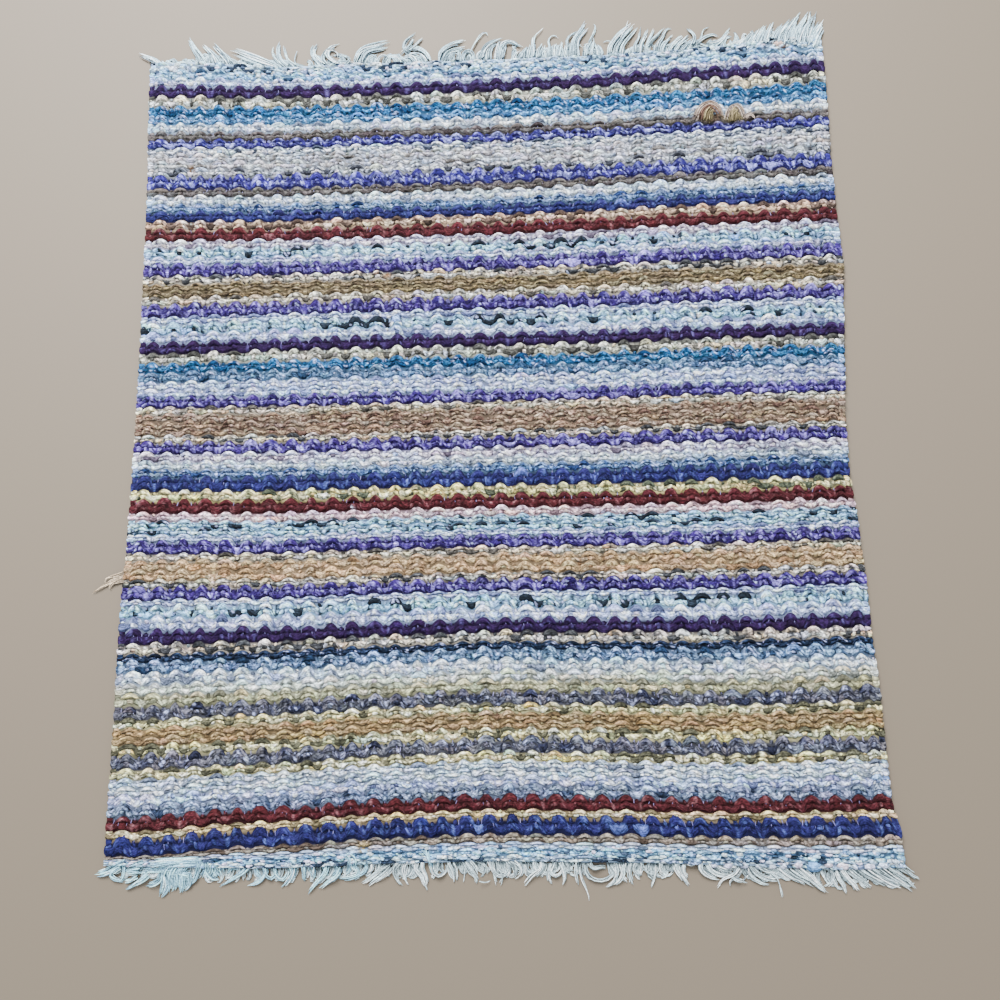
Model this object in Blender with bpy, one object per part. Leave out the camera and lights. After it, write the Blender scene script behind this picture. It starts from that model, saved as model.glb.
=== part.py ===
"""A rag rug: a flat woven field with a fringe at each end, a loose weft end and a pulled weft loop."""
import math
import random

import bmesh
import bpy

# Driving sizes, in millimetres.
PILE_TOP = 5.6          # height of the weave's crests over the underside
RIB_DEPTH = 0.9         # how far the rows of weft rise over the dips between them
RIB_ROWS = 92           # rows of weft floats from one end to the other
SELVEDGE_TOP = 3.4      # height of the wall at the two long sides
SELVEDGE_TURN = 2.6     # how far in from the side the weft reaches its full height
END_TOP = 4.2           # height of the field where a fringe strip starts
STRIP_DEPTH = 5.0       # woven strip that holds the fringe
STRIP_TOP = 3.6         # its height at the field
PART_GAP = 0.35         # air between the strip and the field
STRAND_WIDE = 2.2
STRAND_HIGH = 1.7
STRAND_ROOM = 0.5       # least air between two strands
TIP_SHARE = 0.55        # a strand's width at its tip, as a share of its root
TAIL_WIDE = 3.6
TAIL_HIGH = 2.8

# The long sides: along is the distance from the middle towards the far end.
SIDES = [
    # along, left, right
    (-410, -350.0, 355.5),
    (-373, -350.0, 354.0),
    (-340, -350.0, 348.2),
    (-300, -349.2, 347.3),
    (-250, -349.0, 346.6),
    (-200, -349.3, 343.8),
    (-160, -348.7, 343.2),
    (-110, -346.3, 340.6),
    (-50, -345.5, 336.6),
    (0, -344.8, 337.2),
    (50, -344.7, 341.0),
    (105, -344.8, 344.6),
    (148, -345.2, 348.2),
    (210, -345.7, 346.0),
    (265, -347.0, 345.4),
    (315, -349.0, 346.5),
    (355, -350.4, 346.8),
    (410, -351.6, 344.6),
]

# The two short ends: where the weaving stops.
ENDS = [
    # across, near, far
    (-352, -396, 398),
    (-300, -398, 398),
    (-250, -399, 393),
    (-200, -400, 388),
    (-150, -399, 390),
    (-100, -397, 390),
    (0, -396, 390),
    (100, -398, 391),
    (200, -401, 394),
    (250, -404, 399),
    (300, -406, 403),
    (356, -405, 405),
]

# How far each row of weft bows from straight, at seven places across.
BOW_ACROSS = (-330, -210, -90, 0, 90, 210, 330)
BOW = [
    # along, then the bow at each place
    (370, (4.9, -0.9, -0.6, 0.0, 1.3, 6.1, 11.0)),
    (300, (2.5, -0.2, 0.4, 0.0, 1.1, 4.4, 6.8)),
    (200, (2.1, -0.4, -0.3, 0.0, 1.5, 4.3, 5.3)),
    (100, (-1.0, 0.3, 0.3, 0.0, 0.2, 1.7, 2.9)),
    (0, (1.2, 0.0, 0.0, 0.0, 0.1, 1.8, 1.5)),
    (-100, (0.6, -1.7, -0.4, 0.0, -0.6, -0.5, 1.3)),
    (-200, (-6.7, -5.5, -2.2, 0.0, -1.8, -3.0, -1.1)),
    (-300, (-12.0, -8.2, -2.8, 0.0, -2.2, -5.8, -4.0)),
    (-372, (-12.6, -8.2, -2.3, 0.0, -1.7, -5.0, -5.1)),
]

# Low swells of the cloth as it lies.
SWELLS = [
    # across, along, reach, rise
    (-215, 345, 95, 0.55),
    (190, 262, 120, -0.40),
    (-60, 120, 130, 0.45),
    (250, -40, 110, 0.50),
    (-250, -120, 120, -0.40),
    (60, -255, 140, 0.55),
    (-190, -340, 90, 0.45),
    (310, -350, 80, 0.35),
]

# The fringe, one row a bundle; reach is how far a strand's tip lies beyond the end of the weaving.
FAR_BUNDLES = [
    # root_from, root_to, tip_from, tip_to, reach_from, reach_to, strands
    (-349.5, -345.5, -364, -358, 15, 13, 2),
    (-331, -317, -335, -320, 5, 5, 2),
    (-301, -283, -315, -300, 32, 23, 4),
    (-278, -262, -290, -276, 27, 19, 4),
    (-256, -227, -272, -250, 23, 15, 6),
    (-221, -195, -230, -203, 24, 22, 5),
    (-187, -152, -181, -150, 27, 20, 6),
    (-146, -113, -132, -100, 20, 28, 6),
    (-107, -62, -95, -56, 22, 20, 7),
    (-53, -21, -40, -8, 20, 31, 6),
    (-15, 19, -2, 33, 31, 16, 6),
    (29, 60, 38, 64, 20, 38, 6),
    (65, 97, 71, 106, 22, 43, 6),
    (103, 121, 112, 121, 24, 34, 4),
    (127, 149, 138, 157, 20, 38, 5),
    (154, 181, 164, 193, 28, 32, 5),
    (186, 215, 197, 219, 31, 18, 5),
    (221, 250, 228, 257, 24, 25, 5),
    (256, 299, 267, 316, 11, 24, 8),
    (304, 342, 321, 354, 27, 20, 8),
]
NEAR_BUNDLES = [
    # root_from, root_to, tip_from, tip_to, reach_from, reach_to, strands
    (-348, -338, -361, -349, 9, 15, 3),
    (-332, -306, -338, -314, 19, 20, 4),
    (-301, -267, -307, -275, 25, 23, 7),
    (-261, -233, -266, -246, 12, 18, 5),
    (-228, -204, -233, -215, 15, 17, 4),
    (-199, -178, -200, -190, 12, 18, 4),
    (-173, -146, -181, -161, 22, 19, 5),
    (-141, -101, -148, -119, 12, 20, 7),
    (-95, -74, -92, -77, 15, 20, 4),
    (-69, -54, -64, -55, 18, 24, 3),
    (-49, -35, -46, -36, 12, 19, 3),
    (-30, -12, -27, -15, 16, 20, 4),
    (-7, 12, -4, 7, 20, 14, 4),
    (17, 39, 15, 33, 22, 16, 5),
    (44, 63, 45, 60, 18, 14, 4),
    (68, 75, 70, 79, 17, 35, 2),
    (80, 107, 85, 105, 17, 20, 6),
    (112, 125, 114, 122, 16, 12, 3),
    (130, 141, 133, 139, 21, 12, 3),
    (146, 168, 151, 171, 10, 20, 4),
    (173, 196, 183, 206, 11, 16, 5),
    (201, 219, 208, 222, 16, 12, 4),
    (224, 246, 234, 253, 13, 22, 5),
    (250, 268, 261, 278, 15, 18, 4),
    (272, 291, 285, 299, 22, 19, 4),
    (296, 317, 307, 328, 18, 18, 5),
    (322, 352, 337, 367, 16, 22, 7),
]

# The loose weft end at the left side, from the selvedge outwards.
TAIL_PATH = [
    # across, along, width share
    (-348.8, -140.0, 0.80),
    (-354.0, -140.2, 1.00),
    (-360.5, -145.4, 0.90),
    (-366.5, -149.2, 1.05),
    (-373.0, -155.0, 0.75),
    (-379.5, -160.0, 0.40),
]
# The pulled loop of weft, which lies in two twisted lumps on the weave.
TUFT_PATH = [
    # across, along, width, height, lift
    (205.0, 317.5, 2.6, 1.6, 0.0),
    (209.5, 322.5, 4.2, 2.6, 0.1),
    (215.0, 326.0, 6.0, 3.4, 0.4),
    (221.0, 325.5, 7.6, 4.0, 0.7),
    (226.5, 321.0, 7.2, 3.8, 0.6),
    (231.5, 317.5, 4.6, 2.6, 0.1),
    (237.0, 318.0, 5.0, 2.8, 0.1),
    (242.5, 321.5, 7.4, 3.8, 0.5),
    (248.5, 322.0, 8.0, 4.0, 0.6),
    (254.0, 317.5, 5.8, 3.0, 0.2),
    (259.5, 313.5, 2.8, 1.6, 0.0),
]
LOOK = {
    # node: colour, roughness
    "rug_body": ((0.42, 0.41, 0.52, 1), 0.95),
    "fringe_far": ((0.74, 0.77, 0.72, 1), 0.95),
    "fringe_near": ((0.74, 0.77, 0.72, 1), 0.95),
    "weft_tail": ((0.50, 0.40, 0.30, 1), 0.95),
    "weft_tuft": ((0.33, 0.24, 0.17, 1), 0.95),
}


def between(knots, values, at):
    """The value at a place, eased between the knots on its two sides."""
    if at <= knots[0]:
        return values[0]
    for a, b, u, v in zip(knots, knots[1:], values, values[1:]):
        if at <= b:
            t = (at - a) / (b - a)
            return u + (v - u) * t * t * (3 - 2 * t)
    return values[-1]


def side(along, right):
    return between([r[0] for r in SIDES], [r[2 if right else 1] for r in SIDES], along)


def end(across, far):
    return between([r[0] for r in ENDS], [r[2 if far else 1] for r in ENDS], across)


def row_along(across, nominal):
    """Where a row of weft that is straight in the middle lies at this place across."""
    bows = [(row[0], between(BOW_ACROSS, row[1], across)) for row in reversed(BOW)]
    low, high = end(0, False), end(0, True)
    knots = [low] + [b[0] for b in bows] + [high]
    places = [end(across, False)] + [b[0] + b[1] for b in bows] + [end(across, True)]
    if places[1] < places[0] + 3:
        places[1] = places[0] + 3
    for a, b, u, v in zip(knots, knots[1:], places, places[1:]):
        if nominal <= b:
            return u + (v - u) * (nominal - a) / (b - a)
    return places[-1]


def swell(across, along):
    return sum(
        rise * math.exp(-((across - x) ** 2 + (along - y) ** 2) / reach**2)
        for x, y, reach, rise in SWELLS
    )


def stations(along):
    """The places across at which a row of weft is worked out, from side to side."""
    left, right = side(along, False), side(along, True)
    inner_left, inner_right = left + SELVEDGE_TURN, right - SELVEDGE_TURN
    inner = 10
    return (
        [left]
        + [inner_left + (inner_right - inner_left) * i / inner for i in range(inner + 1)]
        + [right]
    )


def end_line(far, back):
    """The short end's line, moved back into the rug by this much."""
    way = -1 if far else 1
    nominal = end(0, far)
    return [(x, end(x, far) + way * back) for x in stations(nominal)]


def add_object(name, bm):
    bmesh.ops.recalc_face_normals(bm, faces=bm.faces)
    bmesh.ops.scale(bm, vec=(0.001, 0.001, 0.001), verts=bm.verts)
    mesh = bpy.data.meshes.new(name)
    bm.to_mesh(mesh)
    bm.free()
    ob = bpy.data.objects.new(name, mesh)
    bpy.context.scene.collection.objects.link(ob)
    colour, rough = LOOK[name]
    mat = bpy.data.materials.new(name)
    mat.use_nodes = True
    shader = mat.node_tree.nodes["Principled BSDF"]
    shader.inputs["Base Color"].default_value = colour
    shader.inputs["Roughness"].default_value = rough
    shader.inputs["Metallic"].default_value = 0.0
    mesh.materials.append(mat)
    return ob


def make_body():
    bm = bmesh.new()
    cut = STRIP_DEPTH + PART_GAP
    low, high = end(0, False) + cut, end(0, True) - cut
    lines = []
    steps = RIB_ROWS * 2
    for j in range(steps + 1):
        nominal = low + (high - low) * j / steps
        crest = j % 2 == 1
        row = []
        places = stations(nominal)
        for i, x in enumerate(places):
            y = row_along(x, nominal)
            if j == 0 or j == steps:
                y = end(x, j == steps) + (-cut if j == steps else cut)
            else:
                y = min(max(y, end(x, False) + cut + 1.2), end(x, True) - cut - 1.2)
            z = PILE_TOP - (0 if crest else RIB_DEPTH) + swell(x, y)
            if i in (0, len(places) - 1):
                z = SELVEDGE_TOP
                x += (0.5 if crest else -0.3) * (-1 if i == 0 else 1)
            if j in (0, steps):
                z = min(z, END_TOP)
            row.append(bm.verts.new((x, y, z)))
        lines.append(row)
    for i in range(len(lines[0])):
        for j in range(1, steps):
            if lines[j][i].co.y <= lines[j - 1][i].co.y + 0.25:
                lines[j][i].co.y = lines[j - 1][i].co.y + 0.25
        for j in range(steps - 1, 0, -1):
            if lines[j][i].co.y >= lines[j + 1][i].co.y - 0.25:
                lines[j][i].co.y = lines[j + 1][i].co.y - 0.25
    for a, b in zip(lines, lines[1:]):
        for i in range(len(a) - 1):
            bm.faces.new((a[i], a[i + 1], b[i + 1], b[i]))
    rim = [e for e in bm.edges if e.is_boundary]
    made = bmesh.ops.extrude_edge_only(bm, edges=rim)["geom"]
    for v in made:
        if isinstance(v, bmesh.types.BMVert):
            v.co.z = 0
    under = [e for e in made if isinstance(e, bmesh.types.BMEdge) and e.is_boundary]
    bmesh.ops.contextual_create(bm, geom=under)
    bmesh.ops.triangulate(bm, faces=[f for f in bm.faces if len(f.verts) > 4])
    return add_object("rug_body", bm)


def walk(path):
    """Places along a strand's path, each with half its width there."""
    found = []
    for k, (a, b) in enumerate(zip(path, path[1:])):
        for n in range(9):
            t = n / 8
            share = 1 - (1 - TIP_SHARE) * (k + t) / (len(path) - 1)
            found.append((a[0] + (b[0] - a[0]) * t, a[1] + (b[1] - a[1]) * t, share * STRAND_WIDE / 2))
    return found


def room_between(path, other):
    return min(
        math.hypot(x - u, y - v) - r - s for x, y, r in walk(path) for u, v, s in walk(other)
    )


def strands_of(bundles, far, rng):
    """(root, middle, before the tip, tip) of each strand, from left to right.

    A strand that would come too near the one or two before it is left out.
    """
    way = 1 if far else -1
    found = []
    for root_from, root_to, tip_from, tip_to, reach_from, reach_to, count in bundles:
        for k in range(count):
            t = k / max(count - 1, 1)
            root = root_from + (root_to - root_from) * t
            tip = tip_from + (tip_to - tip_from) * t
            reach = reach_from + (reach_to - reach_from) * t
            reach *= 1 + 0.16 * math.sin(math.pi * t) + rng.uniform(-0.10, 0.06)
            y = end(root, far)
            lean = tip - root
            path = [
                (root, y),
                (root + 0.20 * lean, y + way * 0.34 * reach),
                (root + 0.58 * lean, y + way * 0.72 * reach),
                (tip, y + way * reach),
            ]
            if all(room_between(path, other) > STRAND_ROOM for other in found[-3:]):
                found.append(path)
    return found


def make_fringe(name, bundles, far, seed):
    rng = random.Random(seed)
    way = 1 if far else -1
    bm = bmesh.new()
    strands = strands_of(bundles, far, rng)
    half = STRAND_WIDE / 2
    back_line = end_line(far, STRIP_DEPTH)
    left, right = back_line[0][0], back_line[-1][0]
    marks = [left]
    for path in strands:
        marks += [path[0][0] - half, path[0][0] + half]
    marks.append(right)
    front = []
    for x in marks:
        y = end(x, far)
        front.append((bm.verts.new((x, y, 0)), bm.verts.new((x, y, STRAND_HIGH))))
    back = []
    for x, y in back_line:
        back.append((bm.verts.new((x, y, 0)), bm.verts.new((x, y, STRIP_TOP))))
    roots = []
    for k, (a, b) in enumerate(zip(front, front[1:])):
        face = bm.faces.new((a[0], b[0], b[1], a[1]))
        if k % 2 == 1:
            roots.append(face)
    for a, b in zip(back, back[1:]):
        bm.faces.new((a[0], b[0], b[1], a[1]))
    for ends in ((front[0], back[0]), (front[-1], back[-1])):
        bm.faces.new((ends[0][0], ends[1][0], ends[1][1], ends[0][1]))
    for level in (0, 1):
        i = j = 0
        while i < len(front) - 1 or j < len(back) - 1:
            step_front = j == len(back) - 1 or (
                i < len(front) - 1
                and front[i + 1][0].co.x + front[i][0].co.x
                < back[j + 1][0].co.x + back[j][0].co.x
            )
            if step_front:
                bm.faces.new((front[i][level], front[i + 1][level], back[j][level]))
                i += 1
            else:
                bm.faces.new((front[i][level], back[j + 1][level], back[j][level]))
                j += 1
    for face, path in zip(roots, strands):
        for k in range(1, len(path)):
            made = bmesh.ops.extrude_discrete_faces(bm, faces=[face])["faces"][0]
            x, y = path[k]
            a = path[k - 1]
            b = path[min(k + 1, len(path) - 1)]
            dx, dy = b[0] - a[0], b[1] - a[1]
            length = math.hypot(dx, dy)
            cross = (abs(dy) / length, -dx / length * way)
            share = 1 - (1 - TIP_SHARE) * k / (len(path) - 1)
            wide = half * share
            high = STRAND_HIGH * (1.0 if k < 2 else share)
            ring = sorted(made.verts, key=lambda v: v.co.x)
            for n, pair in enumerate((ring[:2], ring[2:])):
                s = -wide if n == 0 else wide
                for v in pair:
                    top = v.co.z > STRAND_HIGH * 0.3
                    v.co = (x + cross[0] * s, y + cross[1] * s, high if top else 0)
            face = made
    return add_object(name, bm)


def make_tail():
    bm = bmesh.new()
    rings = []
    for k, (x, y, share) in enumerate(TAIL_PATH):
        a = TAIL_PATH[max(k - 1, 0)]
        b = TAIL_PATH[min(k + 1, len(TAIL_PATH) - 1)]
        dx, dy = b[0] - a[0], b[1] - a[1]
        length = math.hypot(dx, dy)
        px, py = -dy / length, dx / length
        wide, high = TAIL_WIDE * share / 2, TAIL_HIGH * share
        outline = ((-0.7, 0.0), (0.7, 0.0), (1.0, 0.45), (0.45, 1.0), (-0.45, 1.0), (-1.0, 0.45))
        rings.append(
            [bm.verts.new((x + px * wide * u, y + py * wide * u, high * v)) for u, v in outline]
        )
    for a, b in zip(rings, rings[1:]):
        for i in range(6):
            bm.faces.new((a[i], a[(i + 1) % 6], b[(i + 1) % 6], b[i]))
    bm.faces.new(rings[0])
    bm.faces.new(rings[-1])
    return add_object("weft_tail", bm)


def make_tuft():
    """A stretch of weft that was pulled up out of the weave and lies on it."""
    bm = bmesh.new()
    rings = []
    for k, (x, y, wide, high, lift) in enumerate(TUFT_PATH):
        a = TUFT_PATH[max(k - 1, 0)]
        b = TUFT_PATH[min(k + 1, len(TUFT_PATH) - 1)]
        dx, dy = b[0] - a[0], b[1] - a[1]
        length = math.hypot(dx, dy)
        px, py = -dy / length, dx / length
        base = PILE_TOP + swell(x, y) + PART_GAP + lift
        outline = ((-0.5, 0.0), (0.5, 0.0), (1.0, 0.4), (0.55, 1.0), (-0.55, 1.0), (-1.0, 0.4))
        rings.append(
            [
                bm.verts.new((x + px * wide / 2 * u, y + py * wide / 2 * u, base + high * v))
                for u, v in outline
            ]
        )
    for a, b in zip(rings, rings[1:]):
        for i in range(6):
            bm.faces.new((a[i], a[(i + 1) % 6], b[(i + 1) % 6], b[i]))
    bm.faces.new(rings[0])
    bm.faces.new(rings[-1])
    return add_object("weft_tuft", bm)


def main():
    for ob in list(bpy.data.objects):
        bpy.data.objects.remove(ob, do_unlink=True)
    made = [
        make_body(),
        make_fringe("fringe_far", FAR_BUNDLES, True, 3),
        make_fringe("fringe_near", NEAR_BUNDLES, False, 5),
        make_tail(),
        make_tuft(),
    ]
    # The middle of the whole footprint is the origin.
    xs = [v.co.x for ob in made for v in ob.data.vertices]
    ys = [v.co.y for ob in made for v in ob.data.vertices]
    middle = ((min(xs) + max(xs)) / 2, (min(ys) + max(ys)) / 2)
    for ob in made:
        for v in ob.data.vertices:
            v.co.x -= middle[0]
            v.co.y -= middle[1]
        ob.data.update()


main()
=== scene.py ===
"""The rag rug, dressed: a point-twill weave of rag weft on its solids, with a cotton warp fringe."""

import bpy
import numpy as np
from mathutils import Euler, Matrix


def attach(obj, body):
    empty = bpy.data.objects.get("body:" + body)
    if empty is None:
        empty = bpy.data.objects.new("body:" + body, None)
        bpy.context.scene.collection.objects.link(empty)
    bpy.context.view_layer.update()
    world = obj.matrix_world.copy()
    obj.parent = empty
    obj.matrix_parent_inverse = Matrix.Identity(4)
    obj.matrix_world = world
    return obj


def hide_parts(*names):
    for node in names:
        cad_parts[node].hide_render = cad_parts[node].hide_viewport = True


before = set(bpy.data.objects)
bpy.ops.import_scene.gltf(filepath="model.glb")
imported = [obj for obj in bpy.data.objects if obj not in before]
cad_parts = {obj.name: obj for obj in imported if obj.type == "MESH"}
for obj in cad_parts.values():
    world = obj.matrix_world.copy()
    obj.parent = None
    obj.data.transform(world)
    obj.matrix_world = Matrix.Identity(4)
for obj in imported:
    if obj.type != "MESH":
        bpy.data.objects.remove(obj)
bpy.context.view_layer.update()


def locks_in(table):
    """The locks of a table: yarns, width at the root, width at the tip, and the points of the path."""
    locks = []
    for line in table.strip().splitlines():
        sizes, *path = [[float(word) for word in part.split()] for part in line.split(",")]
        locks.append((int(sizes[0]), sizes[1], sizes[2], path))
    return locks


# Lengths are in millimetres in the weaving's frame: across to the right, along to the far end, and up.
MM = 0.001
MIDDLE = np.array([-6.2553, 1.2879])    # the part's origin: the middle of its whole footprint

# The cloth's outline and bow.
SIDES = [
    # along, left, right
    (-410, -350.0, 355.5),
    (-373, -350.0, 354.0),
    (-340, -350.0, 348.2),
    (-300, -349.2, 347.3),
    (-250, -349.0, 346.6),
    (-200, -349.3, 343.8),
    (-160, -348.7, 343.2),
    (-110, -346.3, 340.6),
    (-50, -345.5, 336.6),
    (0, -344.8, 337.2),
    (50, -344.7, 341.0),
    (105, -344.8, 344.6),
    (148, -345.2, 348.2),
    (210, -345.7, 346.0),
    (265, -347.0, 345.4),
    (315, -349.0, 346.5),
    (355, -350.4, 346.8),
    (410, -351.6, 344.6),
]
ENDS = [
    # across, near, far
    (-352, -396, 398),
    (-300, -398, 398),
    (-250, -399, 393),
    (-200, -400, 388),
    (-150, -399, 390),
    (-100, -397, 390),
    (0, -396, 390),
    (100, -398, 391),
    (200, -401, 394),
    (250, -404, 399),
    (300, -406, 403),
    (356, -405, 405),
]
BOW_ACROSS = (-330, -210, -90, 0, 90, 210, 330)
BOW = [
    # along, then the bow at each place
    (370, (4.9, -0.9, -0.6, 0.0, 1.3, 6.1, 11.0)),
    (300, (2.5, -0.2, 0.4, 0.0, 1.1, 4.4, 6.8)),
    (200, (2.1, -0.4, -0.3, 0.0, 1.5, 4.3, 5.3)),
    (100, (-1.0, 0.3, 0.3, 0.0, 0.2, 1.7, 2.9)),
    (0, (1.2, 0.0, 0.0, 0.0, 0.1, 1.8, 1.5)),
    (-100, (0.6, -1.7, -0.4, 0.0, -0.6, -0.5, 1.3)),
    (-200, (-6.7, -5.5, -2.2, 0.0, -1.8, -3.0, -1.1)),
    (-300, (-12.0, -8.2, -2.8, 0.0, -2.2, -5.8, -4.0)),
    (-372, (-16.6, -8.4, -2.3, 0.0, -1.7, -5.0, -5.1)),
]
LEAST_EDGE = 3          # the rows keep this far from the near end
SWELLS = [
    # across, along, reach, rise
    (-215, 345, 95, 0.55),
    (190, 262, 120, -0.40),
    (-60, 120, 130, 0.45),
    (250, -40, 110, 0.50),
    (-250, -120, 120, -0.40),
    (60, -255, 140, 0.55),
    (-190, -340, 90, 0.45),
    (310, -350, 80, 0.35),
]

# The warp: ends of cotton twine, threaded to a point so that a repeat is six ends.
END_COUNT = 205
END_MARGIN = 2.6        # from the side to the first end
END_STEP = 3.4          # from one end to the next
REPEAT = 6
FIRST_PEAK = 3          # the first end at which the pattern points to the far end

# The weft, from the far end: the yarn of each treadling round of four picks, and the round's depth.
PICKS = 4
ROUNDS = [
    # yarn, depth of the round
    ("heading_fleck", 8.6), ("heading", 7.4), ("lavender_white", 8.7), ("aubergine", 12.0),
    ("cream_grey", 11.0), ("teal", 9.8), ("sky", 8.7), ("pearl", 9.5), ("taupe", 8.3),
    ("periwinkle", 9.0), ("pearl_fleck", 7.0), ("beige", 8.0), ("beige", 8.0), ("beige_fleck", 8.3),
    ("periwinkle", 13.7), ("taupe", 8.0), ("pearl", 9.5), ("denim", 8.0), ("navy", 10.0),
    ("apricot", 9.0), ("maroon", 11.5), ("rose_white", 8.0), ("aqua_fleck", 9.5),
    ("lavender_white", 7.5), ("violet", 12.0), ("cream_fleck", 8.0), ("khaki", 6.5), ("khaki", 7.0),
    ("cream", 8.0), ("violet", 12.2), ("lavender_white", 6.8), ("aqua_fleck", 10.0),
    ("lavender_white", 9.5), ("aubergine", 11.5), ("cream_grey", 10.0), ("teal", 9.5), ("steel", 10.0),
    ("lavender_white", 8.0), ("lavender_white", 8.0), ("violet", 10.5), ("cream", 7.0),
    ("tan_pink", 7.2), ("tan_pink", 7.2), ("tan_pink", 7.1), ("cream_fleck", 6.5), ("violet", 10.5),
    ("rose_white", 8.0), ("pearl", 8.0), ("denim", 7.5), ("navy", 13.2), ("straw_fleck", 9.4),
    ("maroon", 11.6), ("rose", 7.8), ("aqua_fleck", 6.5), ("aqua_fleck", 6.5), ("lavender_white", 6.0),
    ("violet", 10.5), ("cream", 6.5), ("peach", 8.5), ("peach", 8.5), ("cream_fleck", 6.5),
    ("violet", 10.7), ("lavender_white", 5.3), ("aqua_fleck", 10.5), ("lavender_white", 10.7),
    ("aubergine", 11.5), ("cream_fleck", 8.8), ("ink", 6.0), ("denim_fleck", 10.0), ("pearl", 10.0),
    ("ivory", 8.5), ("sage", 9.5), ("slate", 11.5), ("butter", 7.5), ("tan", 7.0), ("tan", 7.0),
    ("butter", 8.5), ("slate", 12.0), ("butter", 7.5), ("pearl", 7.0), ("pearl", 6.5),
    ("lavender_white", 8.0), ("steel_fleck", 9.5), ("maroon", 11.2), ("straw", 6.0), ("navy", 14.8),
    ("drab", 6.6), ("edge_white", 4.6), ("heading", 6.0), ("heading_fleck", 5.3),
]
YARN_PARTS = ("main", "second", "dark_floats", "specks", "spread", "grain")
YARNS = {
    # yarn: colour, fleck, share of the rag that is in the fleck, share of specks, spread of tone, grain
    "edge_white": ((190, 206, 236), (84, 98, 118), 0.05, 0.10, 0.20, 0.40),
    "heading": ((154, 197, 240), (42, 58, 78), 0.10, 0.18, 0.3, 0.6),
    "heading_fleck": ((192, 220, 252), (30, 38, 52), 0.15, 0.2, 0.3, 0.6),
    "lavender_white": ((198, 213, 255), (88, 96, 130), 0.05, 0.20, 0.27, 0.62),
    "aubergine": ((37, 24, 53), (80, 74, 118), 0.0, 0.06, 0.16, 0.5),
    "cream_grey": ((212, 213, 200), (56, 56, 54), 0.19, 0.26, 0.32, 0.68),
    "teal": ((57, 98, 137), (22, 46, 76), 0.08, 0.16, 0.24, 0.85),
    "sky": ((104, 146, 189), (42, 68, 102), 0.08, 0.22, 0.28, 0.85),
    "pearl": ((214, 231, 255), (90, 98, 116), 0.05, 0.18, 0.26, 0.62),
    "pearl_fleck": ((217, 227, 247), (56, 62, 76), 0.14, 0.24, 0.26, 0.55),
    "taupe": ((92, 89, 88), (54, 48, 50), 0.05, 0.16, 0.24, 0.55),
    "periwinkle": ((44, 40, 94), (136, 140, 200), 0.05, 0.18, 0.3, 0.72),
    "beige": ((190, 196, 208), (104, 100, 98), 0.05, 0.20, 0.22, 0.58),
    "beige_fleck": ((196, 201, 211), (46, 48, 56), 0.17, 0.24, 0.26, 0.60),
    "denim": ((114, 136, 171), (32, 46, 80), 0.10, 0.22, 0.28, 0.80),
    "denim_fleck": ((131, 154, 187), (28, 42, 64), 0.12, 0.22, 0.28, 0.80),
    "navy": ((37, 37, 77), (84, 96, 150), 0.02, 0.08, 0.22, 0.6),
    "apricot": ((219, 190, 168), (58, 48, 44), 0.18, 0.24, 0.30, 0.55),
    "maroon": ((63, 30, 34), (120, 84, 88), 0.0, 0.06, 0.18, 0.6),
    "rose_white": ((218, 216, 247), (80, 72, 86), 0.07, 0.20, 0.24, 0.62),
    "aqua_fleck": ((173, 214, 255), (18, 22, 28), 0.18, 0.20, 0.28, 0.60),
    "violet": ((45, 34, 81), (138, 130, 196), 0.05, 0.2, 0.32, 0.65),
    "cream": ((218, 208, 192), (58, 56, 54), 0.13, 0.22, 0.30, 0.65),
    "cream_fleck": ((218, 209, 196), (42, 44, 48), 0.17, 0.24, 0.30, 0.68),
    "khaki": ((128, 116, 94), (72, 63, 52), 0.05, 0.20, 0.2, 0.7),
    "steel": ((110, 135, 166), (34, 52, 76), 0.10, 0.22, 0.28, 0.80),
    "steel_fleck": ((136, 149, 176), (34, 42, 60), 0.10, 0.22, 0.28, 0.75),
    "tan_pink": ((149, 131, 115), (80, 62, 56), 0.05, 0.22, 0.21, 0.72),
    "peach": ((173, 150, 123), (124, 100, 78), 0.03, 0.14, 0.22, 0.7),
    "straw_fleck": ((236, 222, 168), (56, 62, 54), 0.15, 0.22, 0.28, 0.62),
    "straw": ((216, 196, 158), (92, 84, 66), 0.1, 0.16, 0.26, 0.6),
    "rose": ((232, 204, 216), (110, 92, 100), 0.04, 0.18, 0.27, 0.62),
    "drab": ((138, 131, 124), (70, 60, 54), 0.05, 0.18, 0.22, 0.50),
    "butter": ((237, 230, 184), (62, 62, 52), 0.18, 0.24, 0.30, 0.66),
    "ink": ((40, 50, 72), (14, 22, 36), 0.09, 0.22, 0.34, 0.80),
    "ivory": ((206, 214, 209), (112, 116, 112), 0.04, 0.14, 0.22, 0.55),
    "sage": ((176, 175, 147), (92, 92, 80), 0.11, 0.22, 0.26, 0.55),
    "slate": ((92, 93, 104), (32, 34, 50), 0.09, 0.20, 0.3, 0.8),
    "tan": ((154, 134, 105), (100, 84, 64), 0.04, 0.14, 0.2, 0.65),
}
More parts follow.
